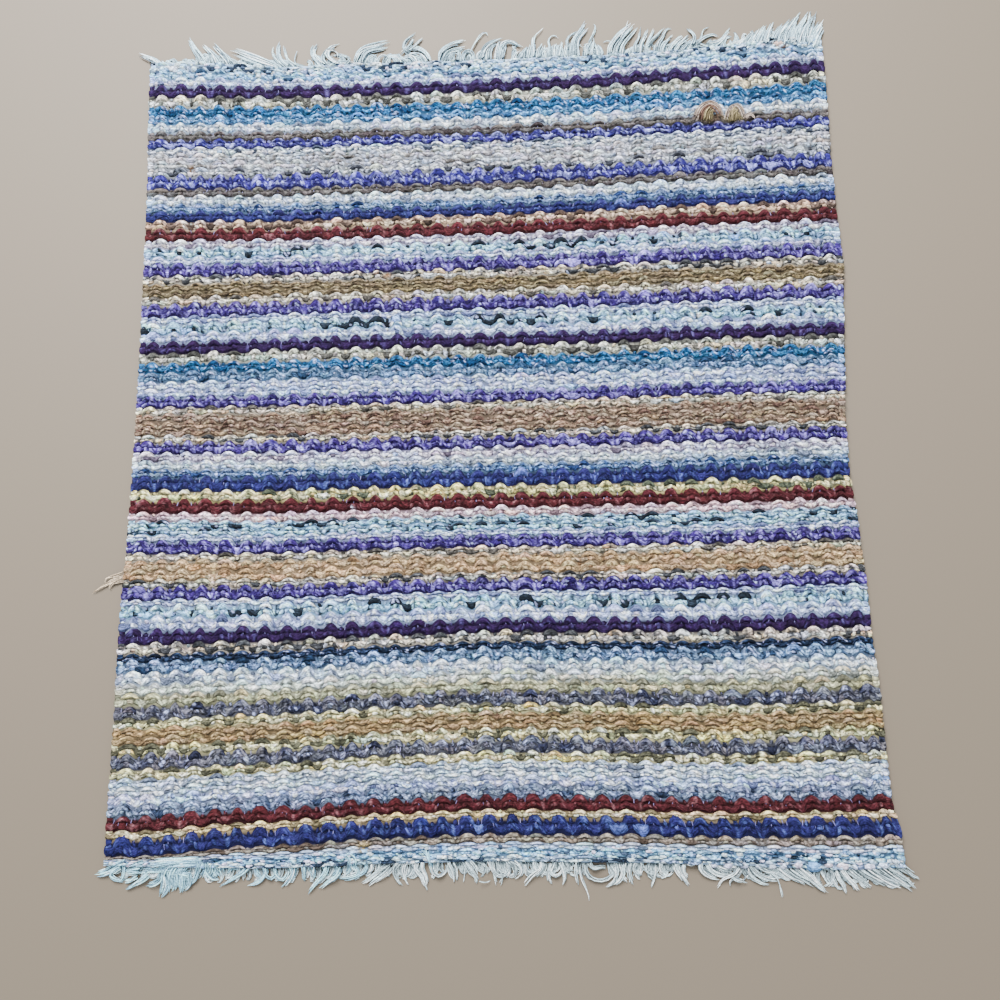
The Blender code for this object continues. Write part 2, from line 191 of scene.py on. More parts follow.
# What a few yarns do in their own way.
HABITS = {
    # habit: how the other yarns are, and the yarns that differ
    # how flat the floats lie
    "calm": (0.0, {"edge_white": 0.6, "heading": 0.4, "heading_fleck": 0.4}),
    # the share of specks where white lint or warp shows
    "pale": (0.0, {
        "teal": 0.08, "sky": 0.08, "denim": 0.07, "denim_fleck": 0.06, "steel": 0.07, "steel_fleck": 0.06,
        "ink": 0.05, "slate": 0.05, "heading": 0.08, "aqua_fleck": 0.04, "periwinkle": 0.04, "violet": 0.03,
    }),
    # how unevenly the floats lie, in picks
    "uneven": (0.13, {
        "heading": 0.40, "heading_fleck": 0.40, "slate": 0.32, "steel": 0.25, "teal": 0.25, "khaki": 0.34,
        "tan_pink": 0.34, "peach": 0.30, "tan": 0.34,
    }),
    # how far the colour wanders between warm and cold
    "wander": (0.07, {
        "straw": 0.09, "straw_fleck": 0.12, "butter": 0.12, "cream": 0.13, "cream_grey": 0.11,
        "cream_fleck": 0.12,
    }),
}

# The floats of one round on the face, over six ends. Depths are in picks from the round's far side.
FLOATS = [
    # name, middle (in ends from a peak), reach to its tips, depth at its left tip, middle and
    # right tip, steps, rise, breadth, painted light and shade on it, how often it is in the fleck
    ("domes", 0, 2.20, 2.20, 0.62, 2.20, 7, 2.00, 1.30, 1.06, 1.0),
    ("peak_points", 0, 1.05, 2.75, 2.50, 2.75, 4, 1.30, 1.05, 0.90, 0.5),
    ("valley_points", 3, 0.62, 1.55, 1.55, 1.55, 4, 1.05, 0.92, 0.76, 0.5),
    ("lobes", 3, 1.80, 2.10, 3.38, 2.10, 7, 1.90, 1.45, 1.02, 1.1),
    ("right_slants", 1.5, 1.12, 2.54, 3.10, 3.66, 5, 1.25, 0.95, 0.86, 0.45),
    ("left_slants", -1.5, 1.12, 3.66, 3.10, 2.54, 5, 1.25, 0.95, 0.86, 0.45),
]
FLOAT_ACROSS = (-1.0, -0.55, 0.0, 0.55, 1.0)
FLOAT_BENDS = (1.4, 2.4)    # how sharply the bluntest and the sharpest float bend
FLOAT_TAPER = 0.42          # how much narrower a float is at its tips
FLOAT_VARIES = {"middle": 0.10, "reach": 0.10, "lean": 0.18, "breadth": 0.12, "rise": 0.12, "crease": 0.10}
# How far the warp has shifted to the right, in the middle of the cloth and towards its sides.
DRIFT_ACROSS = (-300, -150, 0, 150, 300)
DRIFT = [
    # along, then the shift at each place
    (360, (0.6, 1.0, 2.8, 3.5, 3.2)),
    (240, (2.0, -0.4, 1.6, 2.8, 2.3)),
    (200, (3.5, 0.2, 0.3, 1.4, 1.3)),
    (118, (-0.5, -0.9, -0.2, 0.7, 0.1)),
    (86, (0.8, 0.6, 1.0, 0.9, 0.4)),
    (-68, (0.1, 2.6, 2.3, 2.8, 1.9)),
    (-157, (2.6, 3.0, 2.8, 3.0, 0.9)),
    (-190, (2.7, 3.4, 3.7, 2.7, 0.9)),
    (-345, (3.0, 3.4, 2.6, 3.8, 4.4)),
]
SIDE_HOLD = 20          # the shift fades out this close to a side
# How far inside the ends of the cloth the floats and turns, the warp points and the cloth under them keep.
FLOAT_MARGIN = 0.2
WARP_MARGIN = 0.5
CORE_MARGIN = 0.3
CORE_TOP = 3.9          # the cloth between the floats
CORE_COLUMNS = 16
RIM_DROP = 0.35         # how far a float's rim lies under that
CORE_SHADE = 0.28       # the cloth between the floats is the yarn in shade
END_SHADE = 0.75        # and hardly in shade at the two ends
BACK_SHADE = 0.8        # nor on its back
CORE_GRAIN = 0.3

# Where a warp end comes up between two floats: by its place in the repeat, the depth in picks.
WARP_GAPS = (1.65, 2.47, 1.51, 0.9, 1.51, 2.47)
WARP_SHOWS = ("aubergine", "maroon", "navy", "violet", "periwinkle", "slate", "teal", "ink", "taupe")
# The share of those places where it shows, in the same order.
WARP_SHARES = (0.45, 0.15, 0.20, 0.35, 0.20, 0.15)
WARP_WIDE = 0.85
WARP_RISE = 1.15
WARP_COLOUR = (166, 162, 226)
WARP_TINTED = 0.25      # the share of the weft's dye that it has taken up

# Each round turns back round the outer ends at both sides.
TURNS = 2
TURN_ACROSS = (-1.0, -0.5, 0.5, 1.0)
TURN_PATH = [
    # how far in from the side, height
    (6.5, 3.6),
    (4.2, 5.0),
    (1.6, 4.9),
    (0.2, 3.6),
    (0.0, 2.3),
    (0.7, 1.0),
    (3.0, 0.3),
]
TURN_IN = 1.1           # a turn's rims lie this much further in
TURN_LOW = 0.78         # and are this share as high
TURN_BREADTH = (1.08, 0.08)     # how broad the turns are, in their share of the round, and how that varies
TURN_BULGE = (0.15, 0.35)       # how far they stand out past the side, and how that varies

YARN_THICK = 1.05       # one yarn of the fringe
YARN_MORE = 1.55        # a lock holds this many times the yarns that can be told apart
YARN_STEPS = 9
YARN_SIDES = 4
YARN_TAPER = ((0, 0.12, 0.7, 0.9, 1), (0.6, 1, 1, 0.75, 0.12))    # places along a yarn, thickness there
# The dyes of yarns and of their darker fibres: the far fringe, the near one, the near one's left, the
# loose weft end and the three yarns of the loops.
FAR_COTTON = ((204, 238, 255), (96, 112, 128))
NEAR_COTTON = ((224, 248, 255), (96, 108, 120))
LEFT_COTTON = ((176, 232, 255), (76, 100, 130))
TAIL_DYE = ((200, 180, 156), (146, 124, 100))
PALE_DYE = ((186, 168, 156), (140, 120, 108))
BROWN_DYE = ((118, 92, 78), (72, 52, 46))
OLIVE_DYE = ((152, 138, 104), (104, 90, 68))
LEFT_PART = -110        # the near fringe is a colder white from here to the left
COTTON_GRAIN = 0.36
COTTON_FLECK = (0.08, 0.32)     # the share of the darker fibres in a yarn, and how it varies
COTTON_TONE = (-0.08, 0.34)     # how light a yarn is, and how it varies
ALONG_YARN = 0.16       # how much both vary along a yarn
# How a lock's yarns vary.
YARN_VARIES = {
    "turn": (-1.3, 1.3), "swing": (-0.8, 0.8), "waves": (3, 8), "wave_start": (0, 6), "begin": (0, 0.14),
    "shorter": (0, 0.16), "thick": (0.85, 1.15),
}
UNDER = (0.0, 0.3)      # the share of the pile in which the short yarns lie
AMONG = (0.3, 1.0)      # and the locks
LEAST_LIFT = 0.62       # the middle of a yarn lies this many yarns up or more
OVER_LIFT = (0.8, 1.6)  # over the cloth, the lowest yarn's height, and how much more the highest has
UNDER_TOP = 0.7         # the other yarns stay this far under the top of the cloth
PILE_HIGH = (4.6, 3.6, 2.4, 1.2)    # how high the yarns lie over one another, from root to tip

# The locks, read from the photo. Each row: yarns, width at the root, width at the tip, then the points of
# the path, across and along.
FAR_LOCKS = locks_in("""
6 8 5, -337 391, -345 401, -356 407, -367 412
3 4 3, -325 393, -329 398, -333 402
3 4 3, -311 393, -314 399, -319 403
3 4 3, -301 393, -305 400, -312 404
7 9 5, -292 392, -299 404, -307 417, -315 431
7 8 5, -279 392, -283 402, -291 413, -299 423
6 8 4, -266 392, -272 403, -281 414, -290 425
8 5 7, -212 388, -232 399, -250 407, -265 414, -272 413
7 4 6, -205 385, -228 392, -248 400, -262 408, -271 411
5 5 5, -238 386, -250 393, -262 399
3 4 3, -186 388, -200 393, -213 399, -222 406
4 5 3, -204 388, -213 397, -217 408, -216 423
4 5 3, -196 388, -205 396, -209 406, -212 420
3 4 2, -210 389, -219 399, -223 408, -222 417
1 1 1, -196 390, -200 399, -195 411
5 5 6, -168 388, -176 397, -180 408, -175 418
3 3 3, -160 388, -168 394, -170 402, -164 409, -156 407, -154 400, -160 396
6 4 5, -150 390, -160 396, -166 404, -160 413, -150 416
4 3 4, -146 390, -141 397, -149 402, -158 407
3 3 3, -162 389, -148 393, -136 394
6 4 6, -136 391, -133 402, -126 409, -113 413, -96 418
5 5 5, -128 391, -126 402, -117 407, -106 409, -98 412
2 3 2, -120 390, -122 398, -116 401, -112 395
2 3 2, -112 389, -110 398, -103 399, -101 393
6 3 6, -57 390, -62 401, -72 408, -83 407, -92 399
5 4 5, -62 389, -67 398, -77 401, -88 396
4 5 4, -72 389, -78 397, -86 399
4 5 4, -80 389, -85 395, -92 397
4 3 5, -78 398, -85 407, -83 417, -71 427
4 3 3, -82 402, -76 408, -70 414, -63 421
3 3 3, -84 404, -79 411, -74 421
6 2 5, -48 389, -47 399, -39 408, -28 413, -18 416
6 3 5, -44 389, -42 398, -35 404, -25 406, -17 409
2 3 2, -36 389, -36 397, -31 400, -27 396, -29 391
3 3 3, -24 389, -22 399, -16 402, -12 397, -14 391
2 2 1, -16 400, -12 409, -7 417, -1 424, 3 422, 1 416
6 4 4, -4 389, -3 399, 2 408, 12 415, 20 419
5 6 6, 4 389, 4 400, 8 408, 15 412
5 6 6, 12 389, 13 400, 15 409, 17 417
4 3 5, 18 389, 18 400, 20 408, 18 415
3 3 3, -8 389, -8 398, -2 402, 3 398, 1 392
5 4 3, 16 404, 22 411, 30 410, 40 404
3 4 3, 28 389, 31 397, 37 402
3 4 3, 33 389, 36 396, 41 403
4 4 3, 38 389, 40 399, 45 407
4 4 3, 44 389, 46 400, 48 411
5 4 3, 49 389, 50 403, 50 414, 55 420
1 1 1, 51 404, 52 416, 58 423, 63 431
5 4 4, 55 389, 56 400, 59 410
4 4 4, 61 389, 61 399, 62 408
3 3 2, 66 389, 67 403, 66 413, 70 418, 75 416, 77 410
4 4 4, 71 389, 71 400, 73 410
5 5 4, 77 389, 78 400, 80 411
5 5 4, 83 389, 84 400, 85 411
7 6 4, 90 389, 90 402, 93 413, 100 423, 107 436
6 4 4, 96 389, 95 402, 97 412, 103 420, 109 428
3 2 3, 86 400, 85 410, 90 417, 98 423
2 2 1, 106 404, 110 412, 114 421, 115 428, 111 431
4 4 3, 104 390, 106 402, 111 412
5 5 3, 110 389, 111 400, 112 414
4 4 3, 117 389, 116 399, 113 410
3 3 3, 121 390, 120 397, 116 406
2 2 2, 99 398, 108 399, 115 398, 121 395
7 4 3, 128 389, 129 401, 136 412, 145 422, 153 430
7 5 3, 134 389, 136 401, 143 412, 150 421, 158 431
5 4 2, 140 389, 142 400, 148 410, 155 419, 161 427
1 1 1, 140 410, 146 422, 149 433
1 1 1, 133 404, 128 409, 122 407
3 3 2, 146 389, 147 396, 151 401
5 4 2, 154 389, 155 402, 160 412, 162 427
6 4 3, 160 389, 161 401, 165 411, 171 423
4 4 1, 167 389, 167 400, 170 409, 178 426
3 2 2, 166 396, 172 406, 180 415, 187 424
6 5 3, 176 389, 178 401, 184 411, 190 422, 197 421
5 4 4, 182 389, 183 399, 189 408, 196 415
5 4 4, 188 389, 192 398, 200 408, 208 415
3 3 2, 213 398, 217 408, 214 416, 205 424
5 4 3, 194 389, 199 398, 206 407, 213 414
4 4 3, 200 389, 206 398, 213 405, 219 409
4 4 3, 206 389, 213 396, 222 400
4 3 3, 212 389, 220 394, 229 397
2 2 1, 219 401, 224 409, 227 418, 237 424
4 3 3, 218 400, 226 408, 236 412, 243 408
6 3 3, 218 401, 231 397, 242 402, 249 412, 257 424
4 3 3, 228 401, 238 403, 246 408, 252 416
4 4 3, 226 390, 235 395, 244 398
4 4 3, 238 390, 246 396, 254 401
5 6 4, 248 390, 255 398, 265 405
6 6 4, 256 390, 262 400, 272 411
6 6 4, 264 390, 269 402, 279 416
6 6 4, 272 391, 276 404, 286 420
6 6 4, 280 392, 284 406, 292 424
6 6 4, 288 393, 291 407, 301 428
6 6 4, 296 394, 299 407, 310 425
6 6 4, 304 395, 308 408, 320 428
6 6 2, 312 396, 316 409, 327 436
6 6 3, 320 397, 325 412, 336 434
5 5 2, 328 397, 332 412, 339 440
5 4 2, 334 397, 337 410, 345 436
6 5 3, 339 397, 342 408, 352 427
2 3 2, 343 395, 345 401, 347 406
""")
NEAR_LOCKS = locks_in("""
3 4 3, -332 -393, -333 -405, -338 -411
6 6 3, -290 -395, -296 -404, -297 -414, -300 -425
7 7 5, -283 -394, -290 -404, -290 -413, -290 -422
7 7 4, -276 -394, -282 -404, -282 -413, -279 -422
5 4 4, -257 -393, -258 -402, -252 -409, -246 -408
5 4 4, -250 -393, -251 -401, -246 -408
4 4 4, -243 -393, -246 -400, -243 -408
3 3 3, -262 -394, -250 -396, -237 -399, -226 -400
4 4 4, -232 -393, -236 -400, -240 -406
7 6 3, -219 -394, -224 -402, -234 -409, -248 -416
5 4 2, -208 -395, -205 -403, -211 -411, -224 -415
4 3 3, -215 -396, -213 -404, -208 -410
3 3 3, -206 -396, -205 -405, -200 -409, -196 -404, -198 -397
3 3 3, -197 -396, -196 -406, -190 -410, -186 -403, -189 -396
5 4 2, -184 -395, -181 -404, -186 -411, -194 -418
3 3 2, -179 -396, -180 -405, -184 -412, -188 -416
4 5 4, -172 -395, -171 -404, -171 -413
4 5 4, -164 -396, -163 -405, -162 -412
5 4 2, -150 -397, -153 -405, -160 -412, -169 -423
5 4 2, -138 -399, -142 -407, -151 -413, -160 -419
4 4 3, -156 -394, -152 -402, -149 -409
4 5 4, -144 -394, -142 -401, -146 -408
5 5 4, -124 -390, -127 -399, -122 -405, -132 -409, -142 -410
5 3 4, -118 -392, -116 -401, -123 -407, -134 -410
4 4 4, -110 -396, -111 -402, -118 -406
5 4 3, -94 -396, -103 -402, -113 -410, -124 -416
4 3 3, -92 -398, -98 -404, -108 -411, -117 -418
2 2 2, -91 -401, -97 -407, -111 -415
3 3 3, -62 -393, -75 -396, -88 -397, -99 -400
5 5 3, -84 -394, -91 -401, -89 -410, -83 -417
4 4 3, -80 -394, -84 -402, -82 -410, -78 -417
4 3 3, -78 -394, -73 -400, -75 -407, -80 -409
6 5 2, -70 -394, -72 -402, -67 -409, -61 -422
4 4 3, -65 -393, -66 -401, -62 -410, -62 -418
4 3 3, -57 -396, -57 -404, -51 -408, -45 -404, -47 -397
3 3 2, -52 -395, -53 -402, -49 -404
4 4 2, -44 -395, -40 -403, -38 -415
3 3 2, -40 -395, -36 -403, -35 -413
1 1 1, -34 -395, -29 -403, -30 -415
3 3 3, -38 -393, -30 -396, -26 -403
6 5 3, -30 -393, -25 -402, -19 -410, -20 -418
3 3 3, -27 -393, -20 -400, -17 -408
3 3 3, -22 -394, -15 -397, -9 -402, -10 -409
1 1 1, -17 -412, -10 -414, -4 -411
4 3 3, -3 -394, -4 -403, 2 -409, 9 -406, 11 -399, 6 -394
3 3 3, 0 -394, 1 -402, 6 -405, 10 -401
4 4 3, -7 -395, -3 -405, 0 -418
2 2 2, 3 -404, 4 -411, 1 -417
5 4 4, 11 -393, 19 -399, 21 -406, 14 -411
4 3 4, 9 -395, 15 -401, 15 -408, 10 -410
3 3 3, 7 -396, 11 -404, 8 -411
4 4 3, 38 -395, 38 -402, 30 -409, 22 -419
3 3 3, 43 -397, 40 -405, 34 -411
4 3 3, 26 -395, 26 -403, 31 -406, 35 -400, 31 -394
3 2 2, 24 -398, 25 -406, 30 -410
3 3 3, 33 -394, 33 -402, 38 -404, 41 -398
4 3 3, 47 -396, 46 -404, 51 -409, 57 -405, 58 -398
4 4 3, 50 -396, 46 -404, 45 -411, 49 -418
4 4 3, 55 -396, 58 -404, 59 -411, 56 -418
2 2 2, 60 -397, 63 -403, 61 -409
3 2 2, 69 -397, 69 -407, 71 -418
2 2 1, 72 -398, 73 -408, 77 -419, 80 -433
2 3 2, 76 -397, 75 -404, 76 -411
4 3 3, 78 -397, 78 -406, 84 -412, 95 -413, 103 -407, 102 -400, 94 -397
4 4 3, 80 -397, 84 -403, 92 -402, 98 -404
4 4 2, 103 -398, 105 -407, 101 -415, 92 -420
4 4 2, 108 -398, 110 -407, 106 -414, 98 -419
3 3 2, 100 -400, 104 -408, 104 -419
4 3 2, 112 -398, 110 -408, 114 -416
4 4 2, 117 -398, 116 -407, 118 -418
2 2 2, 120 -398, 121 -406, 119 -412
3 3 3, 122 -398, 120 -405, 125 -409, 130 -408
2 3 3, 126 -397, 128 -403, 132 -408
3 3 1, 138 -399, 138 -409, 134 -422
3 3 3, 132 -398, 131 -405, 136 -408, 141 -404, 139 -398
3 3 3, 143 -398, 144 -405, 149 -408
3 3 3, 148 -397, 150 -404, 155 -407
2 3 2, 153 -397, 155 -403, 154 -408
6 5 4, 157 -398, 158 -405, 163 -412, 168 -420
4 3 4, 164 -399, 163 -406, 167 -413
3 2 2, 163 -399, 170 -401, 177 -399
5 4 3, 178 -397, 178 -405, 185 -411, 195 -413
6 4 3, 183 -398, 186 -405, 195 -410, 206 -410
5 4 3, 190 -399, 198 -404, 208 -406
4 4 3, 200 -399, 207 -403, 214 -407
3 3 2, 212 -402, 206 -409, 197 -413, 191 -421
3 3 2, 214 -404, 210 -411, 203 -415, 204 -421
3 3 2, 203 -409, 210 -414, 219 -416
2 2 2, 218 -402, 219 -409, 213 -417
5 4 4, 220 -401, 226 -408, 237 -413, 248 -413
5 4 4, 226 -400, 233 -405, 243 -409, 252 -413
3 3 3, 216 -406, 223 -413, 232 -417, 240 -418
4 4 4, 232 -400, 240 -404, 250 -407
2 2 1, 236 -406, 243 -412, 246 -421, 249 -432
6 6 5, 244 -400, 252 -408, 262 -414, 272 -419
6 6 5, 253 -402, 261 -409, 271 -415, 280 -421
5 5 3, 262 -404, 270 -411, 279 -420, 288 -428
3 3 2, 268 -406, 276 -413, 283 -422, 290 -427
5 3 3, 280 -404, 288 -405, 293 -411, 290 -418, 283 -421
5 4 3, 294 -404, 297 -413, 301 -420, 304 -429
7 5 4, 298 -404, 303 -412, 309 -419, 315 -425
7 5 4, 304 -405, 312 -412, 320 -418, 327 -423
6 5 4, 312 -404, 321 -411, 332 -417, 341 -421
6 6 4, 320 -403, 330 -410, 342 -417, 353 -422
7 6 4, 329 -403, 340 -411, 352 -419, 363 -427
6 5 3, 338 -402, 347 -409, 356 -415, 365 -424
5 5 2, 346 -402, 354 -407, 362 -412, 369 -418
2 3 2, 350 -401, 357 -405, 364 -411
""")
# Locks that lie over the far right corner and over the near heading.
FAR_OVER = locks_in("""
5 6 4, 288 397, 291 406, 298 414
7 7 3, 299 396, 303 409, 310 419, 318 429
7 7 3, 307 395, 311 410, 319 423, 329 437
8 8 3, 315 395, 320 411, 329 424, 338 438
8 8 3, 324 394, 329 410, 336 423, 344 434
7 8 4, 332 393, 337 408, 343 417, 351 425
6 7 4, 338 390, 342 402, 347 411, 351 419
""")
NEAR_OVER = locks_in("""
8 7 6, -333 -394, -341 -398, -350 -402, -361 -404
6 5 4, -333 -396, -341 -400, -344 -405, -338 -409, -330 -410
6 6 5, -328 -392, -336 -395, -346 -398
6 6 4, -313 -394, -321 -396, -329 -399
6 5 4, -316 -400, -326 -401, -335 -402
7 4 6, -260 -392, -268 -391, -281 -392, -298 -393, -312 -395
8 5 7, -263 -394, -279 -395, -294 -397, -308 -400, -318 -403
6 4 5, -271 -403, -284 -401, -299 -401, -313 -401, -329 -403
5 4 4, -272 -406, -284 -404, -296 -405
6 6 5, -287 -401, -286 -411, -289 -420
6 6 5, -280 -402, -279 -412, -282 -421
5 6 4, -273 -403, -273 -412, -278 -419
6 5 3, -294 -402, -292 -410, -293 -417, -299 -425
6 5 3, -299 -401, -299 -408, -305 -412, -314 -414
6 6 2, -308 -402, -314 -407, -322 -412, -332 -418
4 4 3, -319 -405, -326 -409, -334 -411
7 5 3, -262 -392, -265 -400, -268 -408, -274 -415, -280 -421
7 7 6, -257 -393, -258 -401, -262 -409
6 6 5, -251 -394, -251 -402, -255 -409
3 3 2, -62 -385, -60 -393, -58 -400, -59 -409
2 2 1, -67 -384, -62 -390, -61 -398
3 3 3, -134 -389, -130 -393, -131 -402, -138 -408
2 2 2, -133 -388, -127 -390, -125 -396, -131 -401, -136 -396
""")
# The loose weft end at the left, and the loops pulled up near the far right corner, with height too.
TAIL_YARNS = locks_in("""
4 2.6 1.2, -344 -138 2.2, -354 -141.5 2, -364.5 -146 1.9, -372 -150.4 1.8, -379 -156.5 1
3 4.4 2.0, -345 -135.5 2.2, -355 -138 2.4, -363 -139.8 2.2, -366 -142.6 2, -363 -146 1.8
3 4.6 2.6, -345 -141 2.2, -353 -143 2.2, -359 -146 2, -361.5 -149.5 1.6, -358 -151.6 1.2
2 2.6 1.4, -346 -137 3.0, -353 -141 3.4, -359 -142 2.8, -364 -146.5 2.4
""")
LOOP_PALE = locks_in("""
7 6.0 6.0, 212 313 5.4, 216 324 7.6, 226 330 8.4, 236 325 7.6, 241 313 5.4
7 6.0 6.0, 244 312 5.4, 247 322 7.2, 253 327 8.2, 259 322 7.2, 261.5 312 5.4
5 4.0 4.0, 261 313 5.2, 267 317.5 6.4, 273 313 5.2
""")
LOOP_BROWN = locks_in("""
7 5.0 5.0, 216.5 312 6.4, 219.5 321 8.8, 226.5 325.5 9.8, 233.5 320.5 8.8, 237.5 311 6.4
4 2.5 2.5, 219 327 7.6, 227 331.5 8.6, 236 328 7.6
""")
LOOP_OLIVE = locks_in("""
10 10.0 9.0, 224 310 6.8, 225 316 9.4, 227.5 321 10.2, 231 322.5 9.6
10 11.0 10.0, 251 310 6.6, 251 315 8.6, 252.5 320 9.2, 256 322 8.4
""")

# Short yarns all along the ends: they fill the places between the locks.
SHORT_APART = 5.0
SHORT_YARNS = 5
SHORT_WIDE = 5.5
SHORT_ASIDE = 5.0
SHORT_VARIES = {
    "place": (0.1, 0.9), "back": (0.3, 1.2), "lean": (0.4, 1.5), "reach": (0.5, 1.05), "hook": (0.65, 1.0),
    "tip": (2.0, 4.5),
}
FAR_SHORT = [
    # from, to across, lean, reach, how far in they start
    (-345, -300, -6, 6, 3),
    (-300, -262, -7, 14, 3),
    (-262, -190, -14, 9, 2),
    (-184, -146, -6, 13, 2),
    (-138, -100, 4, 12, 2),
    (-96, -58, -6, 10, 3),
    (-47, -10, 4, 15, 2),
    (-8, 19, 2, 18, 2),
    (28, 98, 2, 16, 2),
    (102, 122, 1, 15, 2),
    (126, 172, 4, 15, 2),
    (174, 250, 9, 12, 2),
    (250, 300, 7, 15, 3),
    (300, 344, 6, 19, 4),
]
NEAR_SHORT = [
    (-348, -330, -10, 8, 2),
    (-330, -300, -10, 9, 2),
    (-300, -262, -6, 12, 2),
    (-262, -204, -5, 12, 2),
    (-200, -140, -4, 13, 2),
    (-138, -100, -7, 13, 3),
    (-98, -64, 0, 13, 2),
    (-62, -10, 3, 12, 2),
    (-8, 44, 2, 13, 2),
    (46, 78, 2, 12, 2),
    (94, 166, 2, 12, 2),
    (177, 250, 10, 11, 2),
    (250, 290, 10, 14, 2),
    (290, 352, 13, 15, 3),
]

# Marks, knots and single dark or blue rags.
SPOTS = [
    # across, along, reach across, reach along, colour
    (1.8, -270.6, 4.5, 4.0, (92, 74, 62)),
    (-100.6, 154.9, 4.0, 4.0, (120, 92, 70)),
    (-300.8, 274.4, 3.5, 3.5, (126, 96, 70)),
    (-300.5, -147.9, 2.6, 2.6, (50, 48, 54)),
    (-118.0, -383.0, 6.0, 5.0, (156, 140, 104)),
    (302.0, 397.5, 6.5, 4.0, (176, 160, 148)),
    (307.0, 393.0, 2.5, 2.0, (96, 86, 80)),
    (336.0, 393.0, 13.0, 9.0, (178, 212, 244)),
    (229.0, 317.0, 13.0, 7.5, (112, 98, 86)),
    (252.0, 316.0, 11.0, 6.5, (128, 120, 96)),
    (-132.3, -79.3, 1.7, 3.4, (214, 216, 236)),
    (-128.2, -79.6, 2.0, 2.6, (26, 24, 30)),
    (-50.2, -383.2, 3.2, 2.4, (84, 118, 172)),
    (242.3, -396.0, 4.4, 1.7, (24, 28, 36)),
    (257.9, -395.5, 5.6, 2.0, (24, 28, 36)),
    (282.5, -396.2, 4.6, 1.9, (24, 28, 36)),
    (298.5, -396.0, 3.6, 1.8, (24, 28, 36)),
    (315.0, -394.5, 3.4, 1.6, (26, 34, 46)),
    (342.7, -389.3, 4.0, 1.4, (30, 42, 58)),
]
# Small lumps of rag scattered over both headings: one about every so far, so far aside and so deep.
SCATTER_ACROSS = (-343, 347)
SCATTER_STEP = 3.6
SCATTER_ASIDE = 2.0
SCATTER_DEPTH = (2.0, 13.0)
SCATTER_SIZES = ((5, 10), (3, 5.5), (1.8, 2.7))     # width, depth, rise
SCATTER_COLOURS = (
    (196, 218, 246), (160, 204, 244), (216, 212, 240), (176, 214, 240), (134, 176, 220), (206, 224, 232),
    (64, 80, 104),
)
# Where the weft stands out in lumps, at the far right corner and along the near end.
LUMPS = [
    # across, along, width, depth, rise, colour
    (302.0, 397.5, 13.0, 9.0, 2.4, (186, 160, 152)),
    (307.0, 393.5, 5.0, 4.0, 2.6, (100, 86, 84)),
    (190.0, -401.0, 8.0, 6.0, 1.7, (206, 212, 240)),
    (202.0, -401.5, 8.5, 6.0, 1.7, (206, 208, 238)),
    (216.0, -401.5, 9.0, 6.5, 1.8, (202, 212, 242)),
    (229.0, -402.5, 8.0, 6.0, 1.7, (198, 214, 236)),
    (240.0, -402.5, 8.5, 6.5, 1.8, (208, 218, 238)),
    (250.5, -402.5, 9.0, 7.0, 2.0, (206, 216, 240)),
    (262.4, -401.0, 9.5, 9.0, 2.2, (218, 210, 234)),
    (275.9, -402.8, 17.0, 11.0, 2.4, (112, 156, 206)),
    (288.6, -401.2, 10.0, 8.5, 2.5, (222, 211, 230)),
    (301.1, -403.0, 12.5, 8.5, 2.5, (222, 212, 228)),
    (313.0, -403.2, 9.5, 7.5, 2.2, (202, 216, 240)),
    (324.0, -403.2, 12.0, 8.0, 2.4, (212, 214, 240)),
    (336.0, -402.4, 11.0, 8.0, 2.2, (200, 216, 242)),
    (347.0, -400.5, 9.0, 8.0, 2.0, (206, 222, 246)),
]
LUMP_STEPS = 7
LUMP_COLUMNS = 5
LUMP_ROOT = 1.6         # how far a lump's rim lies under the cloth
LUMP_GRAIN = 0.45
LUMP_CREASE = 0.14      # how unevenly it stands out
LUMP_TONE = 0.22        # and how its light varies

VIVID = 1.18
DYE_LIGHT = 0.68        # the dyes under the lamps of this scene
DYE_RANGE = (0.004, 0.92)
VIVID_RANGE = (0.002, 0.95)
RIM_SHADE = 0.42        # painted shade: a yarn's dye is darker where it meets its neighbours
# How much of a dark float, of a speck and of a single point is in the fleck.
FLECK_FLOAT = (0.88, 1.0)
FLECK_SPECK = (0.4, 1.0)
FLECK_POINT = (0.3, 0.9)
PALE_POINT = (0.4, 0.9)     # and how much of the pale lint a point holds
# What the tone of a rag is made up of.
TONE_PARTS = {"float": 0.5, "step": 0.5, "strand": 0.7, "point": 0.5, "run": 0.4}
WARM_VARIES = 0.03      # how warm a float is
PINK_VARIES = 0.02      # how pink a float is
PINK_RUN = 0.035        # and a run
RUN_LONG = 24.0         # a rag's colour runs about this far along the row
RUN_SEEDS = (21, 22, 23, 24)    # for its light, its warmth, its fleck and its pink
HALF_WIDTH = 400        # more than from the middle to either side
PALE = (200, 210, 255)
WARMER = np.array([1.0, 0.1, -1.2])
PINKER = np.array([0.7, -1.0, 0.5])
LOT_APART = 40          # how far apart the yarns' places in the noise lie, give or take

FLOOR_COLOUR = (86, 76, 63)
SKY_COLOUR = (0.93, 0.97, 1.0)
SKY_STRENGTH = 1.9
LAMP_POWER = 345
LAMP_SIZE = 1.2
LAMP_PLACE = (-0.5, 1.7, 1.8)

# The camera, solved from the boards and the rug's corners in the photograph.
LENS = 31.392
SENSOR = 36.0
CAMERA_PLACE = (26.567, -215.965, 814.281)
CAMERA_ANGLES = (9.96, 1.50, -0.92)     # degrees from straight down: towards the far end, sideways, round


def eased(knots, values, at):
    """Values at many places, each eased between the knots on its two sides."""
    knots, values = np.asarray(knots, float), np.asarray(values, float)
    at = np.clip(at, knots[0], knots[-1])
    k = np.clip(np.searchsorted(knots, at, side="right") - 1, 0, len(knots) - 2)
    t = (at - knots[k]) / (knots[k + 1] - knots[k])
    return values[k] + (values[k + 1] - values[k]) * t * t * (3 - 2 * t)


